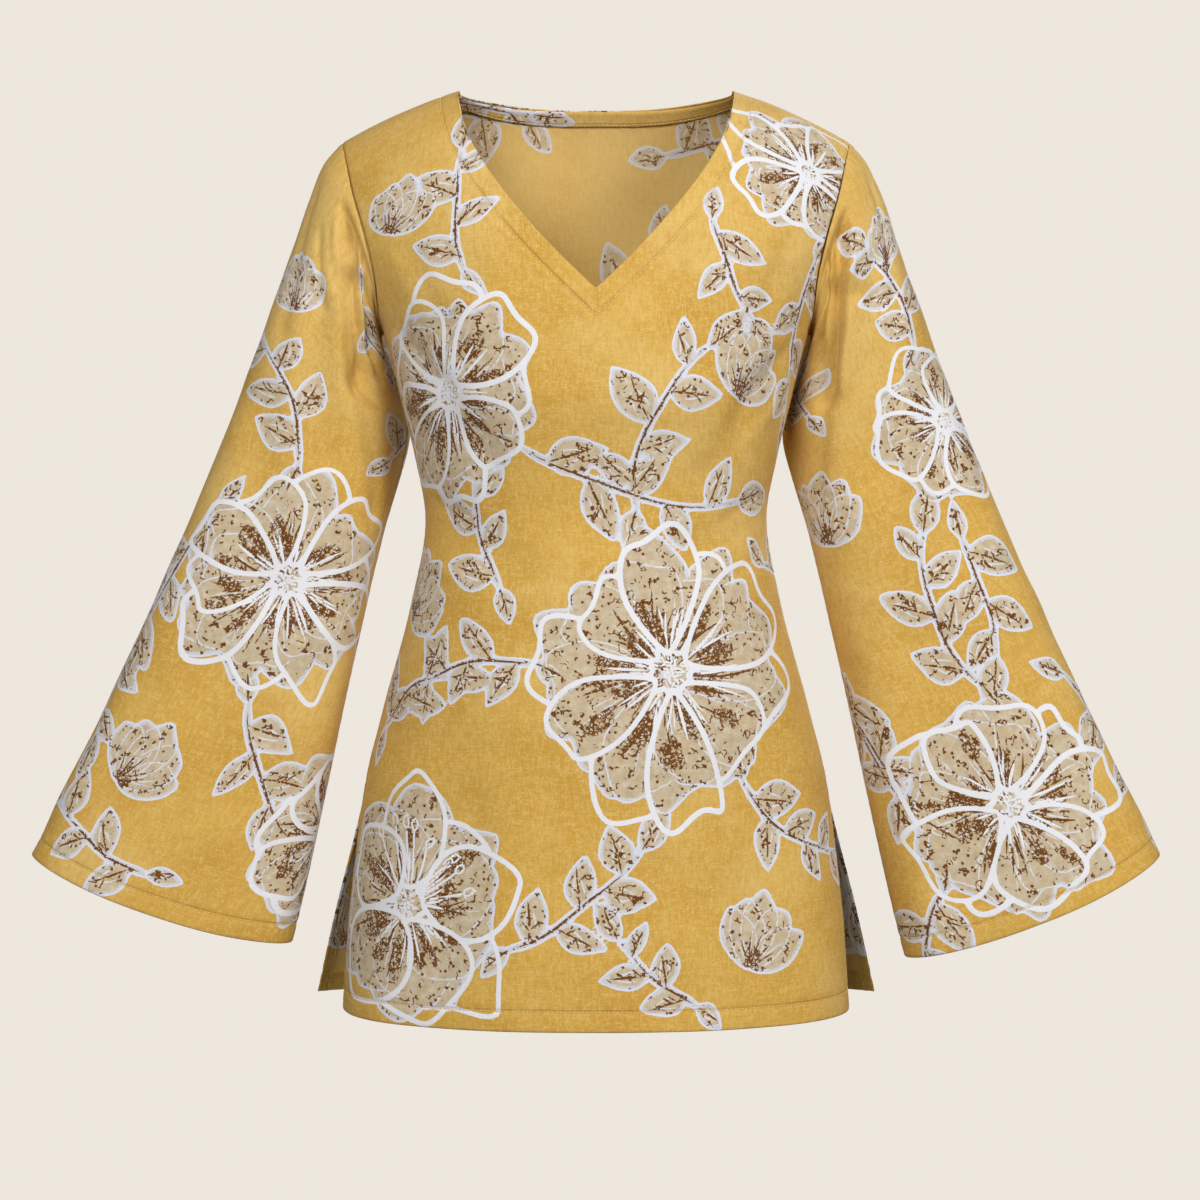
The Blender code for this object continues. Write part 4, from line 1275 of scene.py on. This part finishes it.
def parts_of(strokes):
    """All the short straight lines of these strokes: start, end, half width at each, and if each is a loose end."""
    rows = []
    for stroke in strokes:
        loose = np.zeros((len(stroke.line) - 1, 2))
        if not stroke.closed:
            loose[0, 0] = loose[-1, 1] = 1
        halves = np.stack([stroke.halves[:-1], stroke.halves[1:]], -1)
        rows.append(np.concatenate([stroke.line[:-1], stroke.line[1:], halves, loose], 1))
    rows = np.concatenate(rows)
    return rows[:, :2], rows[:, 2:4], rows[:, 4:6], rows[:, 6:]


def lay_lines(strokes, corners, middles, aside, room, found):
    """Each face takes the nearest line that crosses or nearly crosses it."""
    starts, ends, halves, loose = parts_of(strokes)
    faces = close_to(middles, np.concatenate([starts, ends]), LINE_REACH)
    if not len(faces):
        return
    gap, which = nearest(middles[faces], starts, ends)
    use = (gap < LINE_REACH) & (gap < found[faces])
    faces, which = faces[use], which[use]
    found[faces] = gap[use]
    run = (ends - starts)[which][:, None]
    size = np.linalg.norm(run, axis=-1).clip(1e-7)
    off = corners[faces] - starts[which][:, None]
    t = (off * run).sum(-1) / size**2
    inner = t.clip(0, 1)
    over = abs(t - inner) * size * np.where(t < 0, loose[which][:, :1], loose[which][:, 1:])
    half = halves[which][:, :1] * (1 - inner) + halves[which][:, 1:] * inner
    aside[faces] = 1000 * (run[..., 0] * off[..., 1] - run[..., 1] * off[..., 0]) / size
    room[faces] = 1000 * (half - over)


def ink(flat, faces, motifs, sewn_rows):
    """The distances from the drawing and from the rows of stitches, in millimetres."""
    fill, bold = np.full(len(flat), FAR), np.full(len(flat), FAR)
    patch = np.zeros(len(flat))
    corners = flat[faces]
    middles = corners.mean(1)
    lines = {kind: (np.full(faces.shape, FAR), np.full(faces.shape, -FAR)) for kind in LINE_KINDS}
    found = {kind: np.full(len(faces), np.inf) for kind in lines}
    for row in sewn_rows:
        strokes = [Stroke(row, np.full(len(row), THREAD_GROOVE), False)]
        lay_lines(strokes, corners, middles, *lines["sewn"], found["sewn"])
    for motif in motifs:
        drawing = DRAW[type(motif)](motif)
        for loop in drawing.fills:
            near = close_to(flat, loop, REACH)
            if len(near):
                gap = 1000 * nearest(flat[near], loop, np.roll(loop, -1, 0))[0]
                fill[near] = np.minimum(fill[near], np.where(inside(flat[near], loop), -gap, gap))
        for stroke in drawing.bold:
            if stroke.halves.max() < THICK:
                continue
            near = close_to(flat, stroke.line, REACH)
            if len(near):
                starts, ends, halves, _ = parts_of([stroke])
                gap, which = nearest(flat[near], starts, ends)
                bold[near] = np.minimum(bold[near], 1000 * (gap - halves[which].mean(1)))
        for x, y, way, length, width in drawing.patches:
            off = turned_to(flat - (x, y), -way, 0, 0) / (length, width)
            patch = np.maximum(patch, 1 - (off**2).sum(1))
        for kind, strokes in (("fine", drawing.fine), ("vein", drawing.veins), ("bold", drawing.bold)):
            if strokes:
                lay_lines(strokes, corners, middles, *lines[kind], found[kind])
    return fill.clip(-FAR, FAR), bold.clip(-FAR, FAR), patch.clip(0, 1), lines


print("kinds of line:", LINE_KINDS)

# %% [markdown]
# ## Cutting the sheets
# Each piece of cloth becomes one mesh on its grid, with the drawing kept on its points, faces and corners, and
# with a UV map in metres of flat cloth. A corner's number belongs to one face, so two lines may pass side by
# side. A Solidify modifier then gives the sheet its thickness on the inner side, and more of it where the hem
# is turned up, because there the cloth lies double. The turned part shows its right side inside, as a real
# hem does, so its inner faces take the printed finish back.

# %% Sheets of cloth
TURNED = 0.0019  # two layers, where the hem is turned up
SLIT_TURN = 0.0105


def faces_of(rows, columns, flip):
    index = np.arange(rows * columns).reshape(rows, columns)
    quads = np.stack([index[:-1, :-1], index[:-1, 1:], index[1:, 1:], index[1:, :-1]], -1).reshape(-1, 4)
    return quads[:, ::-1] if flip else quads


def keep(mesh, name, domain, values):
    mesh.attributes.new(name, "FLOAT", domain).data.foreach_set("value", np.ascontiguousarray(values, "f").ravel())


def select_only(piece):
    bpy.ops.object.select_all(action="DESELECT")
    piece.select_set(True)
    bpy.context.view_layer.objects.active = piece


def cut_sheet(name):
    """A printed sheet on the piece's grid, one face thick, with where it is turned up."""
    grid, shape = grids[name], shapes[name]
    rows, columns = shape.shape[:2]
    faces = faces_of(rows, columns, name in ("back", "sleeve_right"))
    flat = np.stack([grid.across.ravel(), grid.along.ravel()], -1)
    mesh = bpy.data.meshes.new(name + "_cloth")
    mesh.from_pydata(shape.reshape(-1, 3).tolist(), [], faces.tolist())
    mesh.shade_smooth()
    mesh.uv_layers.new(name="cloth").data.foreach_set("uv", np.ascontiguousarray(flat[faces], "f").ravel())
    fill, bold, patch, lines = ink(flat, faces, PRINTS[name], sewn[name])
    keep(mesh, "ink_fill", "POINT", fill)
    keep(mesh, "ink_bold", "POINT", bold)
    keep(mesh, "ink_patch", "POINT", patch)
    for kind, (aside, room) in lines.items():
        keep(mesh, f"ink_{kind}_aside", "CORNER", aside)
        keep(mesh, f"ink_{kind}_room", "CORNER", room)
    piece = bpy.data.objects.new(name + "_cloth", mesh)
    bpy.context.scene.collection.objects.link(piece)
    from_hem = grid.along - grid.along.min()
    turned = from_hem < HEM_DEPTH - HEM_STEP / 2
    if name in levels:
        turned |= (levels[name] < SLIT_TOP) & (grid.edge_side < SLIT_TURN)
    if name != "back_neck_facing":
        group = piece.vertex_groups.new(name="turned")
        group.add(np.flatnonzero(turned.ravel()).tolist(), 1.0, "REPLACE")
        keep(mesh, "turned_in", "FACE", turned.ravel()[faces].all(1))
    covered = (fill[faces].mean(1) < 0).mean()
    print(name, len(faces), "faces; print covers", round(100 * covered), "% of it")
    return piece


def thicken(piece):
    """A wall on the inner side, with the cloth's wrong side on it."""
    select_only(piece)
    wall = piece.modifiers.new("wall", "SOLIDIFY")
    wall.offset = -1
    wall.material_offset = 1
    wall.thickness = CLOTH
    if piece.vertex_groups:
        wall.thickness = TURNED
        wall.vertex_group = "turned"
        wall.thickness_vertex_group = CLOTH / TURNED
    bpy.ops.object.modifier_apply(modifier="wall")
    if piece.vertex_groups:
        turned = np.zeros(len(piece.data.polygons), "f")
        piece.data.attributes["turned_in"].data.foreach_get("value", turned)
        side = np.zeros(len(turned), "i")
        piece.data.polygons.foreach_get("material_index", side)
        piece.data.polygons.foreach_set("material_index", np.where(turned > 0.5, 0, side))
    print(piece.name, "triangles", sum(len(p.vertices) - 2 for p in piece.data.polygons))


sheets = {name: cut_sheet(name) for name in shapes}
print("sheets:", [piece.name for piece in sheets.values()])

# %% [markdown]
# ## The cloth's finish
# Slub linen shows three sizes of detail: clouds of slightly uneven dye, the thick and thin threads that make
# fine broken lines both ways, and the weave itself. The print lies on it: a mottled fill, a pale edge, specks
# and fine brown lines, and opaque white on top. Where a hand has printed, no edge is quite true, so every
# distance is first disturbed a little by noise. A finish of this size is easier to read as sums than as a
# drawing of nodes, so a small class lays one Math node for each sign.


# %% Small helpers for nodes
def plug(value, socket):
    """A wire is linked to the socket, and a plain value is set on it."""
    if isinstance(value, Wire):
        value.tree.links.new(value.socket, socket)
    else:
        socket.default_value = value


def add(tree, kind, inputs=None, **settings):
    """A node with its settings and inputs, given back as the wire from its first output."""
    node = tree.nodes.new(kind)
    for key, value in settings.items():
        setattr(node, key, value)
    for key, value in (inputs or {}).items():
        plug(value, node.inputs[key])
    return Wire(node)


def sign_for(how, turned_round=False):
    """What a sign between two wires does: it lays a Math node that takes them both."""

    def lay(self, other=0.0):
        pair = (other, self) if turned_round else (self, other)
        return add(self.tree, "ShaderNodeMath", dict(enumerate(pair)), operation=how)

    return lay


class Wire:
    """What a node gives out. A name or number in brackets takes another output of the same node."""

    def __init__(self, node, output=0):
        self.node, self.tree, self.socket = node, node.id_data, node.outputs[output]

    def __getitem__(self, output):
        return Wire(self.node, output)

    __add__, __radd__ = sign_for("ADD"), sign_for("ADD", True)
    __sub__, __rsub__ = sign_for("SUBTRACT"), sign_for("SUBTRACT", True)
    __mul__, __abs__ = sign_for("MULTIPLY"), sign_for("ABSOLUTE")
    __or__, __lt__ = sign_for("MAXIMUM"), sign_for("LESS_THAN")  # a | b is where either of two masks is


def fade(value, start, end):
    """0 at start and 1 at end, held at both."""
    return add(value.tree, "ShaderNodeMapRange", {"Value": value, "From Min": start, "From Max": end})


def noise(where, scale, detail=2.0, roughness=0.5):
    inputs = {"Vector": where, "Scale": scale, "Detail": detail, "Roughness": roughness}
    return add(where.tree, "ShaderNodeTexNoise", inputs)


def blend(share, under, over):
    """One paint over another."""
    tree = (share if isinstance(share, Wire) else under).tree
    return add(tree, "ShaderNodeMix", {0: share, 6: under, 7: over}, data_type="RGBA")[2]


def stretched(where, x, y, turn=0.0):
    return add(where.tree, "ShaderNodeMapping", {"Vector": where, "Scale": (x, y, 1), "Rotation": (0, 0, turn)})


def kept(tree, name):
    """A number that the mesh keeps."""
    return add(tree, "ShaderNodeAttribute", attribute_name=name)["Fac"]


def new_finish(name):
    material = bpy.data.materials.new(name)
    material.use_nodes = True
    return material, material.node_tree.nodes["Principled BSDF"]


def set_all(shader, inputs):
    for key, value in inputs.items():
        plug(value, shader.inputs[key])


print("what a wire can do:", [name.strip("_") for name in vars(Wire) if callable(getattr(Wire, name))])

# %% [markdown]
# ### The dye
# A cloth of one dye still has many tones. Large clouds come from a slow noise, and the shoulders and chest
# are painted paler, as painted light falling from above. Noise that is stretched along the warp and along the weft
# gives slubs, and the narrow band where a stretched noise passes its middle gives long pale hairlines.


# %% The dyed ground
GROUND = rgba(212, 170, 80)
GROUND_PALE = rgba(224, 192, 120)
GROUND_DEEP = rgba(196, 149, 58)


def dyed_ground(cloth, slub):
    """Clouds of dye, painted light that makes the shoulders and chest paler, slubs both ways, and pale hairlines.
    """
    colour = blend(fade(noise(cloth, 16, 4, 0.55), 0.30, 0.72), GROUND_DEEP, GROUND)
    height = add(cloth.tree, "ShaderNodeSeparateXYZ", {"Vector": cloth})[1]
    # painted light: the ground is painted paler towards the shoulders and chest, as light from above falls there
    painted_top_light = fade(height, -0.60, -0.15) * 0.14
    # random clouds of paler dye, together with the painted light from above
    clouds_and_painted_top_light = fade(noise(cloth, 6.5, 3, 0.6) + painted_top_light, 0.53, 0.71)
    colour = blend(clouds_and_painted_top_light * 0.60, colour, GROUND_PALE)
    colour = blend(fade(slub, 0.50, 0.70) * 0.50, colour, GROUND_PALE)
    colour = blend(fade(slub, 0.47, 0.32) * 0.4, colour, GROUND_DEEP)
    hairline = 0.0
    for x, y in ((70, 210), (230, 64)):
        swell = noise(stretched(cloth, x, y), 1, 2, 0.6)
        hairline = fade(abs(swell - 0.52), 0.020, 0.006) | hairline
    colour = blend(hairline * 0.60, colour, GROUND_PALE)
    drift = noise(stretched(cloth, 300, 110), 1, 2)
    return blend(fade(drift, 0.52, 0.30) * 0.45, colour, GROUND_DEEP)


print("ground", [round(c, 3) for c in GROUND[:3]])

# %% [markdown]
# ### The print's pale inks
# The mesh keeps how far each point is from the edge of a fill, so inside and outside are only a question of
# sign, and a band along the edge is a question of how far inside. A fine line is there where its distance is
# less than the room that the brush left it.

# %% The printed fill and its edge
FILL = rgba(204, 190, 165)
FILL_PALE = rgba(217, 207, 189)
FILL_DEEP = rgba(187, 168, 138)
BAND = rgba(207, 206, 212)
EDGE = rgba(217, 221, 234)
LINE_SOFT = 0.12  # millimetres over which a printed line fades out
EDGE_SOFT = 0.15


def drawn_line(tree, kind, wobble, pressure=None):
    """1 on a line of this kind and 0 off it. A light hand leaves it thinner."""
    room = kept(tree, f"ink_{kind}_room")
    if pressure:
        room = room * pressure
    return fade(abs(kept(tree, f"ink_{kind}_aside") + wobble) - room, LINE_SOFT, -LINE_SOFT)


def printed_fill(colour, cloth, fill, mottle):
    """The mottled fill, a little thin in places, with a paler band inside its edge."""
    in_fill = fade(fill, EDGE_SOFT, -EDGE_SOFT)
    dye = blend(fade(mottle, 0.35, 0.62), FILL_DEEP, FILL)
    dye = blend(fade(mottle, 0.60, 0.75), dye, FILL_PALE)
    thin = fade(noise(cloth, 70, 3), 0.40, 0.62) * 0.14
    colour = blend(in_fill - in_fill * thin, colour, dye)
    band = fade(fill - (-4.4 + fade(mottle, 0.3, 0.7) * 3.0), -0.3, 0.5)
    return blend(band * in_fill * 0.92, colour, BAND)


def pale_lines(colour, fill, shake, wobble):
    """The fine lines of the petals, and the one round the edge of the fill."""
    fine = drawn_line(fill.tree, "fine", wobble, fade(shake, 0.1, 0.75))
    edge = fade(abs(fill + 0.15) - fade(shake, -1.2, 1.0), EDGE_SOFT, -EDGE_SOFT)
    return blend(fine * 0.85 | edge * 0.9, colour, EDGE)


print("a printed edge fades out over", 2 * EDGE_SOFT, "mm")

# %% [markdown]
# ### The brown ink
# Dark ink that was printed with a dry screen breaks up into specks. Cells of a Voronoi texture each hold one
# speck or none, and they crowd together where a slow noise is high and beside the fill's edge. Crackle fills
# the patches at the petals' feet, and the veins are broken up by one more noise.

# %% The brown ink
BROWN = rgba(91, 48, 0)
BROWN_PALE = rgba(125, 74, 4)
SWIRL = 0.0012  # how far the specks are pushed about


def speck_layer(where, size, stretch, turn, share, radius):
    """Specks of ink: one to a cell, and only in as many cells as share says."""
    inputs = {"Vector": stretched(where, 1.0, stretch, turn), "Scale": 1 / size, "Randomness": 0.9}
    cells = add(where.tree, "ShaderNodeTexVoronoi", inputs)
    chance = add(where.tree, "ShaderNodeSeparateColor", {"Color": cells["Color"]})
    return (chance < share) * fade(cells["Distance"], radius * 1.15, radius * 0.85)


def brown_ink(cloth, fill, mottle, shake, wobble):
    """Specks and dashes, worm-like marks, crackled patches, and the veins of leaves and petals."""
    tree = cloth.tree
    swirl = add(tree, "ShaderNodeVectorMath", {0: noise(cloth, 420, 1)["Color"], "Scale": SWIRL}, operation="SCALE")
    where = add(tree, "ShaderNodeVectorMath", {0: cloth, 1: swirl}, operation="ADD")
    by_edge = fade(abs(fill + 2.9), 1.3, 0.3)
    share = fade(noise(cloth, 60, 2), 0.28, 0.95) + by_edge * 0.50
    specks = speck_layer(where, 0.0050, 1.0, 0.0, share + 0.16, 0.235)
    specks = specks | speck_layer(where, 0.0042, 0.42, 1.2, share * 0.24, 0.25)
    near_patch = fade(kept(tree, "ink_patch"), 0.0, 0.03) * 0.05
    worm = fade(abs(noise(where, 170, 1) - 0.5), 0.052, 0.040)
    worm = worm * fade(noise(where, 130, 1) + near_patch, 0.575, 0.590)
    web = add(tree, "ShaderNodeTexVoronoi", {"Vector": where, "Scale": 300.0}, feature="DISTANCE_TO_EDGE")
    crackle = fade(web["Distance"], 0.14, 0.10) | fade(noise(cloth, 380, 3), 0.53, 0.56)
    crackle = crackle * fade(kept(tree, "ink_patch") * fade(mottle, 0.38, 0.55), 0.12, 0.30)
    vein = drawn_line(tree, "vein", wobble, fade(shake, -0.2, 0.62)) * fade(noise(cloth, 420, 1), 0.33, 0.39)
    return (specks | worm | crackle | vein) * fade(fill, -1.1, -1.4)


print("specks are pushed about by up to", 1000 * SWIRL, "mm")

# %% [markdown]
# ### All the inks together
# The layers are laid in the order in which they were printed: dye, fill, pale lines, brown, and opaque white.
# The wrong side is the same cloth with a paler dye and a print that only shows through. A bump gives what is
# too fine for the mesh: the weave, the slubs, the crushed surface, and the groove along each row of stitches.
# That groove is also painted darker, as painted shade.

# %% The printed linen, right side and wrong side
WHITE = rgba(228, 228, 233)
# the colour of the painted shade in the groove along each row of stitches
GROOVE_PAINTED_SHADE = rgba(150, 104, 36)
UNPRINTED = rgba(240, 206, 132)  # how the dye and the print show on the wrong side
SHOWN_THROUGH = rgba(236, 200, 120)
WEAVE = 1500  # threads to a metre, for the bump
GROOVE_REACH = 1.3  # millimetres


def printed_linen(name, wrong_side):
    material, shader = new_finish(name)
    tree = material.node_tree
    cloth = add(tree, "ShaderNodeUVMap", uv_map="cloth")
    slub = (noise(stretched(cloth, 1050, 70), 1, 2) + noise(stretched(cloth, 60, 1050), 1, 2)) * 0.5
    colour = dyed_ground(cloth, slub)
    if wrong_side:
        colour = blend(0.35, colour, UNPRINTED)

    shake, shake_fine = noise(cloth, 260, 3), noise(cloth, 1100, 1)
    wobble = (shake - 0.5) * 1.7 + (shake_fine - 0.5) * 0.7
    fill = kept(tree, "ink_fill") + wobble
    mottle = noise(cloth, 150, 4, 0.6)
    colour = printed_fill(colour, cloth, fill, mottle)
    colour = pale_lines(colour, fill, shake, wobble)
    brown = blend(fade(shake_fine, 0.4, 0.7), BROWN, BROWN_PALE)
    colour = blend(brown_ink(cloth, fill, mottle, shake, wobble) * 0.98, colour, brown)

    broad = fade(kept(tree, "ink_bold") + wobble * 0.55, LINE_SOFT, -LINE_SOFT)
    on_bold = broad | drawn_line(tree, "bold", wobble * 0.4)
    colour = blend(on_bold * fade(noise(cloth, 700, 2), -0.2, 0.35), colour, WHITE)
    if wrong_side:
        colour = blend(0.16, colour, SHOWN_THROUGH)
    groove = fade(abs(kept(tree, "ink_sewn_aside")) - kept(tree, "ink_sewn_room"), GROOVE_REACH, 0.0)

    waves = [
        add(tree, "ShaderNodeTexWave", {"Vector": stretched(cloth, x, y), "Scale": 0.5}, bands_direction=way)[1]
        for x, y, way in ((WEAVE, 1, "X"), (1, WEAVE, "Y"))
    ]
    crush = noise(cloth, 95, 5, 0.6)
    relief = (waves[0] + waves[1]) * 0.10 + slub * 1.1 + crush * 1.6 + on_bold * 0.35 - groove * 1.3
    bump = add(tree, "ShaderNodeBump", {"Height": relief, "Strength": 0.55, "Distance": 0.0006})
    # painted shade: the groove along each row of stitches is painted darker
    colour = blend(groove * 0.13, colour, GROOVE_PAINTED_SHADE)
    set_all(shader, {"Base Color": colour, "Normal": bump, "Roughness": 0.86 - on_bold * 0.16})
    set_all(shader, {"Specular IOR Level": 0.18, "Sheen Weight": 0.07, "Sheen Roughness": 0.5})
    print(name, "nodes:", len(tree.nodes))
    return material


finishes = [printed_linen("printed_linen", False), printed_linen("printed_linen_wrong_side", True)]
for name, piece in sheets.items():
    for finish in finishes:
        piece.data.materials.append(finish)
    thicken(piece)
    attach(piece, "root")
    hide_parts(name)

# %% The cut sizes
# Each is what a maker would cut: the piece laid flat, before its hems are turned.
CUTS = {
    "front": (0.507, 0.779, 0.309),
    "back": (0.483, 0.772, 0.310),
    "sleeve_left": (0.527, 0.605, 0.232),
    "sleeve_right": (0.527, 0.605, 0.229),
    "back_neck_facing": (0.264, 0.015, 0.0039),
}
for name, (width, length, area) in CUTS.items():
    print(name, "cut", width, "by", length, "m")

# %% [markdown]
# ## Topstitching
# A topstitch is a short length of thread that dips into the cloth at both ends. One stitch is modelled from a
# small cylinder, drawn in at its ends, and copied along each row. Every copy is turned to the row's way and to
# the cloth under it, which a ray cast onto the flat piece finds.

# %% One stitch
STITCH = 0.0024
PITCH = 0.0032
THREAD = 0.00030
LIFT = 0.00010
SHORTEST, LONGEST = 0.5, 1.6  # a stitch further from its own length than this isn't sewn
NECK_ROW = 1  # the facing covers the inner side of this row of the back


def from_lowest(corners):
    """The same face, begun at its lowest corner. With the faces sorted, every run then lists them alike."""
    first = corners.index(min(corners))
    return corners[first:] + corners[:first]


bpy.ops.object.select_all(action="DESELECT")
bpy.ops.mesh.primitive_cylinder_add(vertices=6, radius=THREAD, depth=STITCH * 0.6, rotation=(0, math.pi / 2, 0))
stitch = bpy.context.active_object
bpy.ops.object.transform_apply(location=True, rotation=True, scale=True)
for end in (-1, 1):
    bpy.ops.object.mode_set(mode="EDIT")
    bpy.ops.mesh.select_mode(type="FACE")
    bpy.ops.mesh.select_all(action="DESELECT")
    bpy.ops.object.mode_set(mode="OBJECT")
    for face in stitch.data.polygons:
        face.select = face.normal.x * end > 0.9
    bpy.ops.object.mode_set(mode="EDIT")
    bpy.ops.mesh.extrude_region_move(TRANSFORM_OT_translate={"value": (end * STITCH * 0.2, 0, -THREAD * 1.1)})
    bpy.ops.transform.resize(value=(1, 0.45, 0.45))
    bpy.ops.object.mode_set(mode="OBJECT")
stitch_points = np.array([v.co for v in stitch.data.vertices])
stitch_faces = sorted(from_lowest(tuple(face.vertices)) for face in stitch.data.polygons)
bpy.data.objects.remove(stitch, do_unlink=True)
print("one stitch:", len(stitch_points), "points,", len(stitch_faces), "faces")


# %% Thread
def thread_finish():
    material, shader = new_finish("sewing_thread")
    place = add(material.node_tree, "ShaderNodeTexCoord")["Object"]
    inputs = {"Vector": place, "Scale": 1400.0, "Distortion": 1.0}
    twist = add(place.tree, "ShaderNodeTexWave", inputs, bands_direction="DIAGONAL")[1]
    colour = blend(noise(place, 180, 2), rgba(226, 188, 104), rgba(238, 208, 136))
    colour = blend(twist * 0.25, colour, rgba(190, 146, 64))
    bump = add(place.tree, "ShaderNodeBump", {"Height": twist, "Strength": 0.3, "Distance": 0.0001})
    set_all(shader, {"Base Color": colour, "Normal": bump, "Roughness": 0.55})
    return material


thread = thread_finish()
print("thread nodes:", len(thread.node_tree.nodes))


# %% Sewing the rows
def flat_cloth(name):
    """The piece laid flat as triangles, with its worn points, for finding one from the other."""
    grid, shape = grids[name], shapes[name]
    quads = faces_of(*shape.shape[:2], name in ("back", "sleeve_right"))
    triangles = np.concatenate([quads[:, [0, 1, 2]], quads[:, [0, 2, 3]]])
    flat = [Vector((x, y, 0)) for x, y in zip(grid.across.ravel(), grid.along.ravel())]
    worn = [Vector(p) for p in shape.reshape(-1, 3)]
    return BVHTree.FromPolygons(flat, triangles.tolist(), all_triangles=True), flat, worn, triangles


def on_cloth(cloth, spot):
    """The worn point and the way out of the cloth, for a spot on the flat piece."""
    tree, flat, worn, triangles = cloth
    found, _, index, _ = tree.ray_cast(Vector((spot[0], spot[1], 1)), Vector((0, 0, -1)))
    if found is None:
        return None
    corners = [int(i) for i in triangles[index]]
    flats, worns = [flat[i] for i in corners], [worn[i] for i in corners]
    point = barycentric_transform(found, *flats, *worns)
    return np.array(point), np.array((worns[1] - worns[0]).cross(worns[2] - worns[0]).normalized())


def sew(name):
    cloth = flat_cloth(name)
    points, faces = [], []
    for number, row in enumerate(sewn[name]):
        inside_shows = name == "back" and number != NECK_ROW
        run = run_along(row)
        for start in np.arange(PITCH / 2, run[-1] - PITCH / 2, PITCH):
            ends = [[np.interp(start + off, run, row[:, k]) for k in (0, 1)] for off in (0, STITCH)]
            put = [on_cloth(cloth, spot) for spot in ends]
            if None in put:
                continue
            way = put[1][0] - put[0][0]
            length = np.linalg.norm(way)
            if not SHORTEST * STITCH < length < LONGEST * STITCH:
                continue
            out = put[0][1] + put[1][1]
            aside = np.cross(out, way / length)
            aside /= np.linalg.norm(aside)
            frame_of = np.stack([way / length, aside, np.cross(way / length, aside)])
            middle = (put[0][0] + put[1][0]) / 2
            threads = [middle + frame_of[2] * LIFT + stitch_points @ frame_of]
            if inside_shows:
                threads.append(middle - frame_of[2] * (TURNED + LIFT) + stitch_points * (1, -1, -1) @ frame_of)
            for one in threads:
                faces += [tuple(len(points) * len(stitch_points) + i for i in face) for face in stitch_faces]
                points.append(one)
    mesh = bpy.data.meshes.new(name + "_stitches")
    mesh.from_pydata(np.concatenate(points).tolist(), [], faces)
    mesh.shade_smooth()
    mesh.materials.append(thread)
    piece = bpy.data.objects.new(name + "_stitches", mesh)
    bpy.context.scene.collection.objects.link(piece)
    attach(piece, "root")
    print(name, "stitches:", len(points))


for name in sewn:
    sew(name)
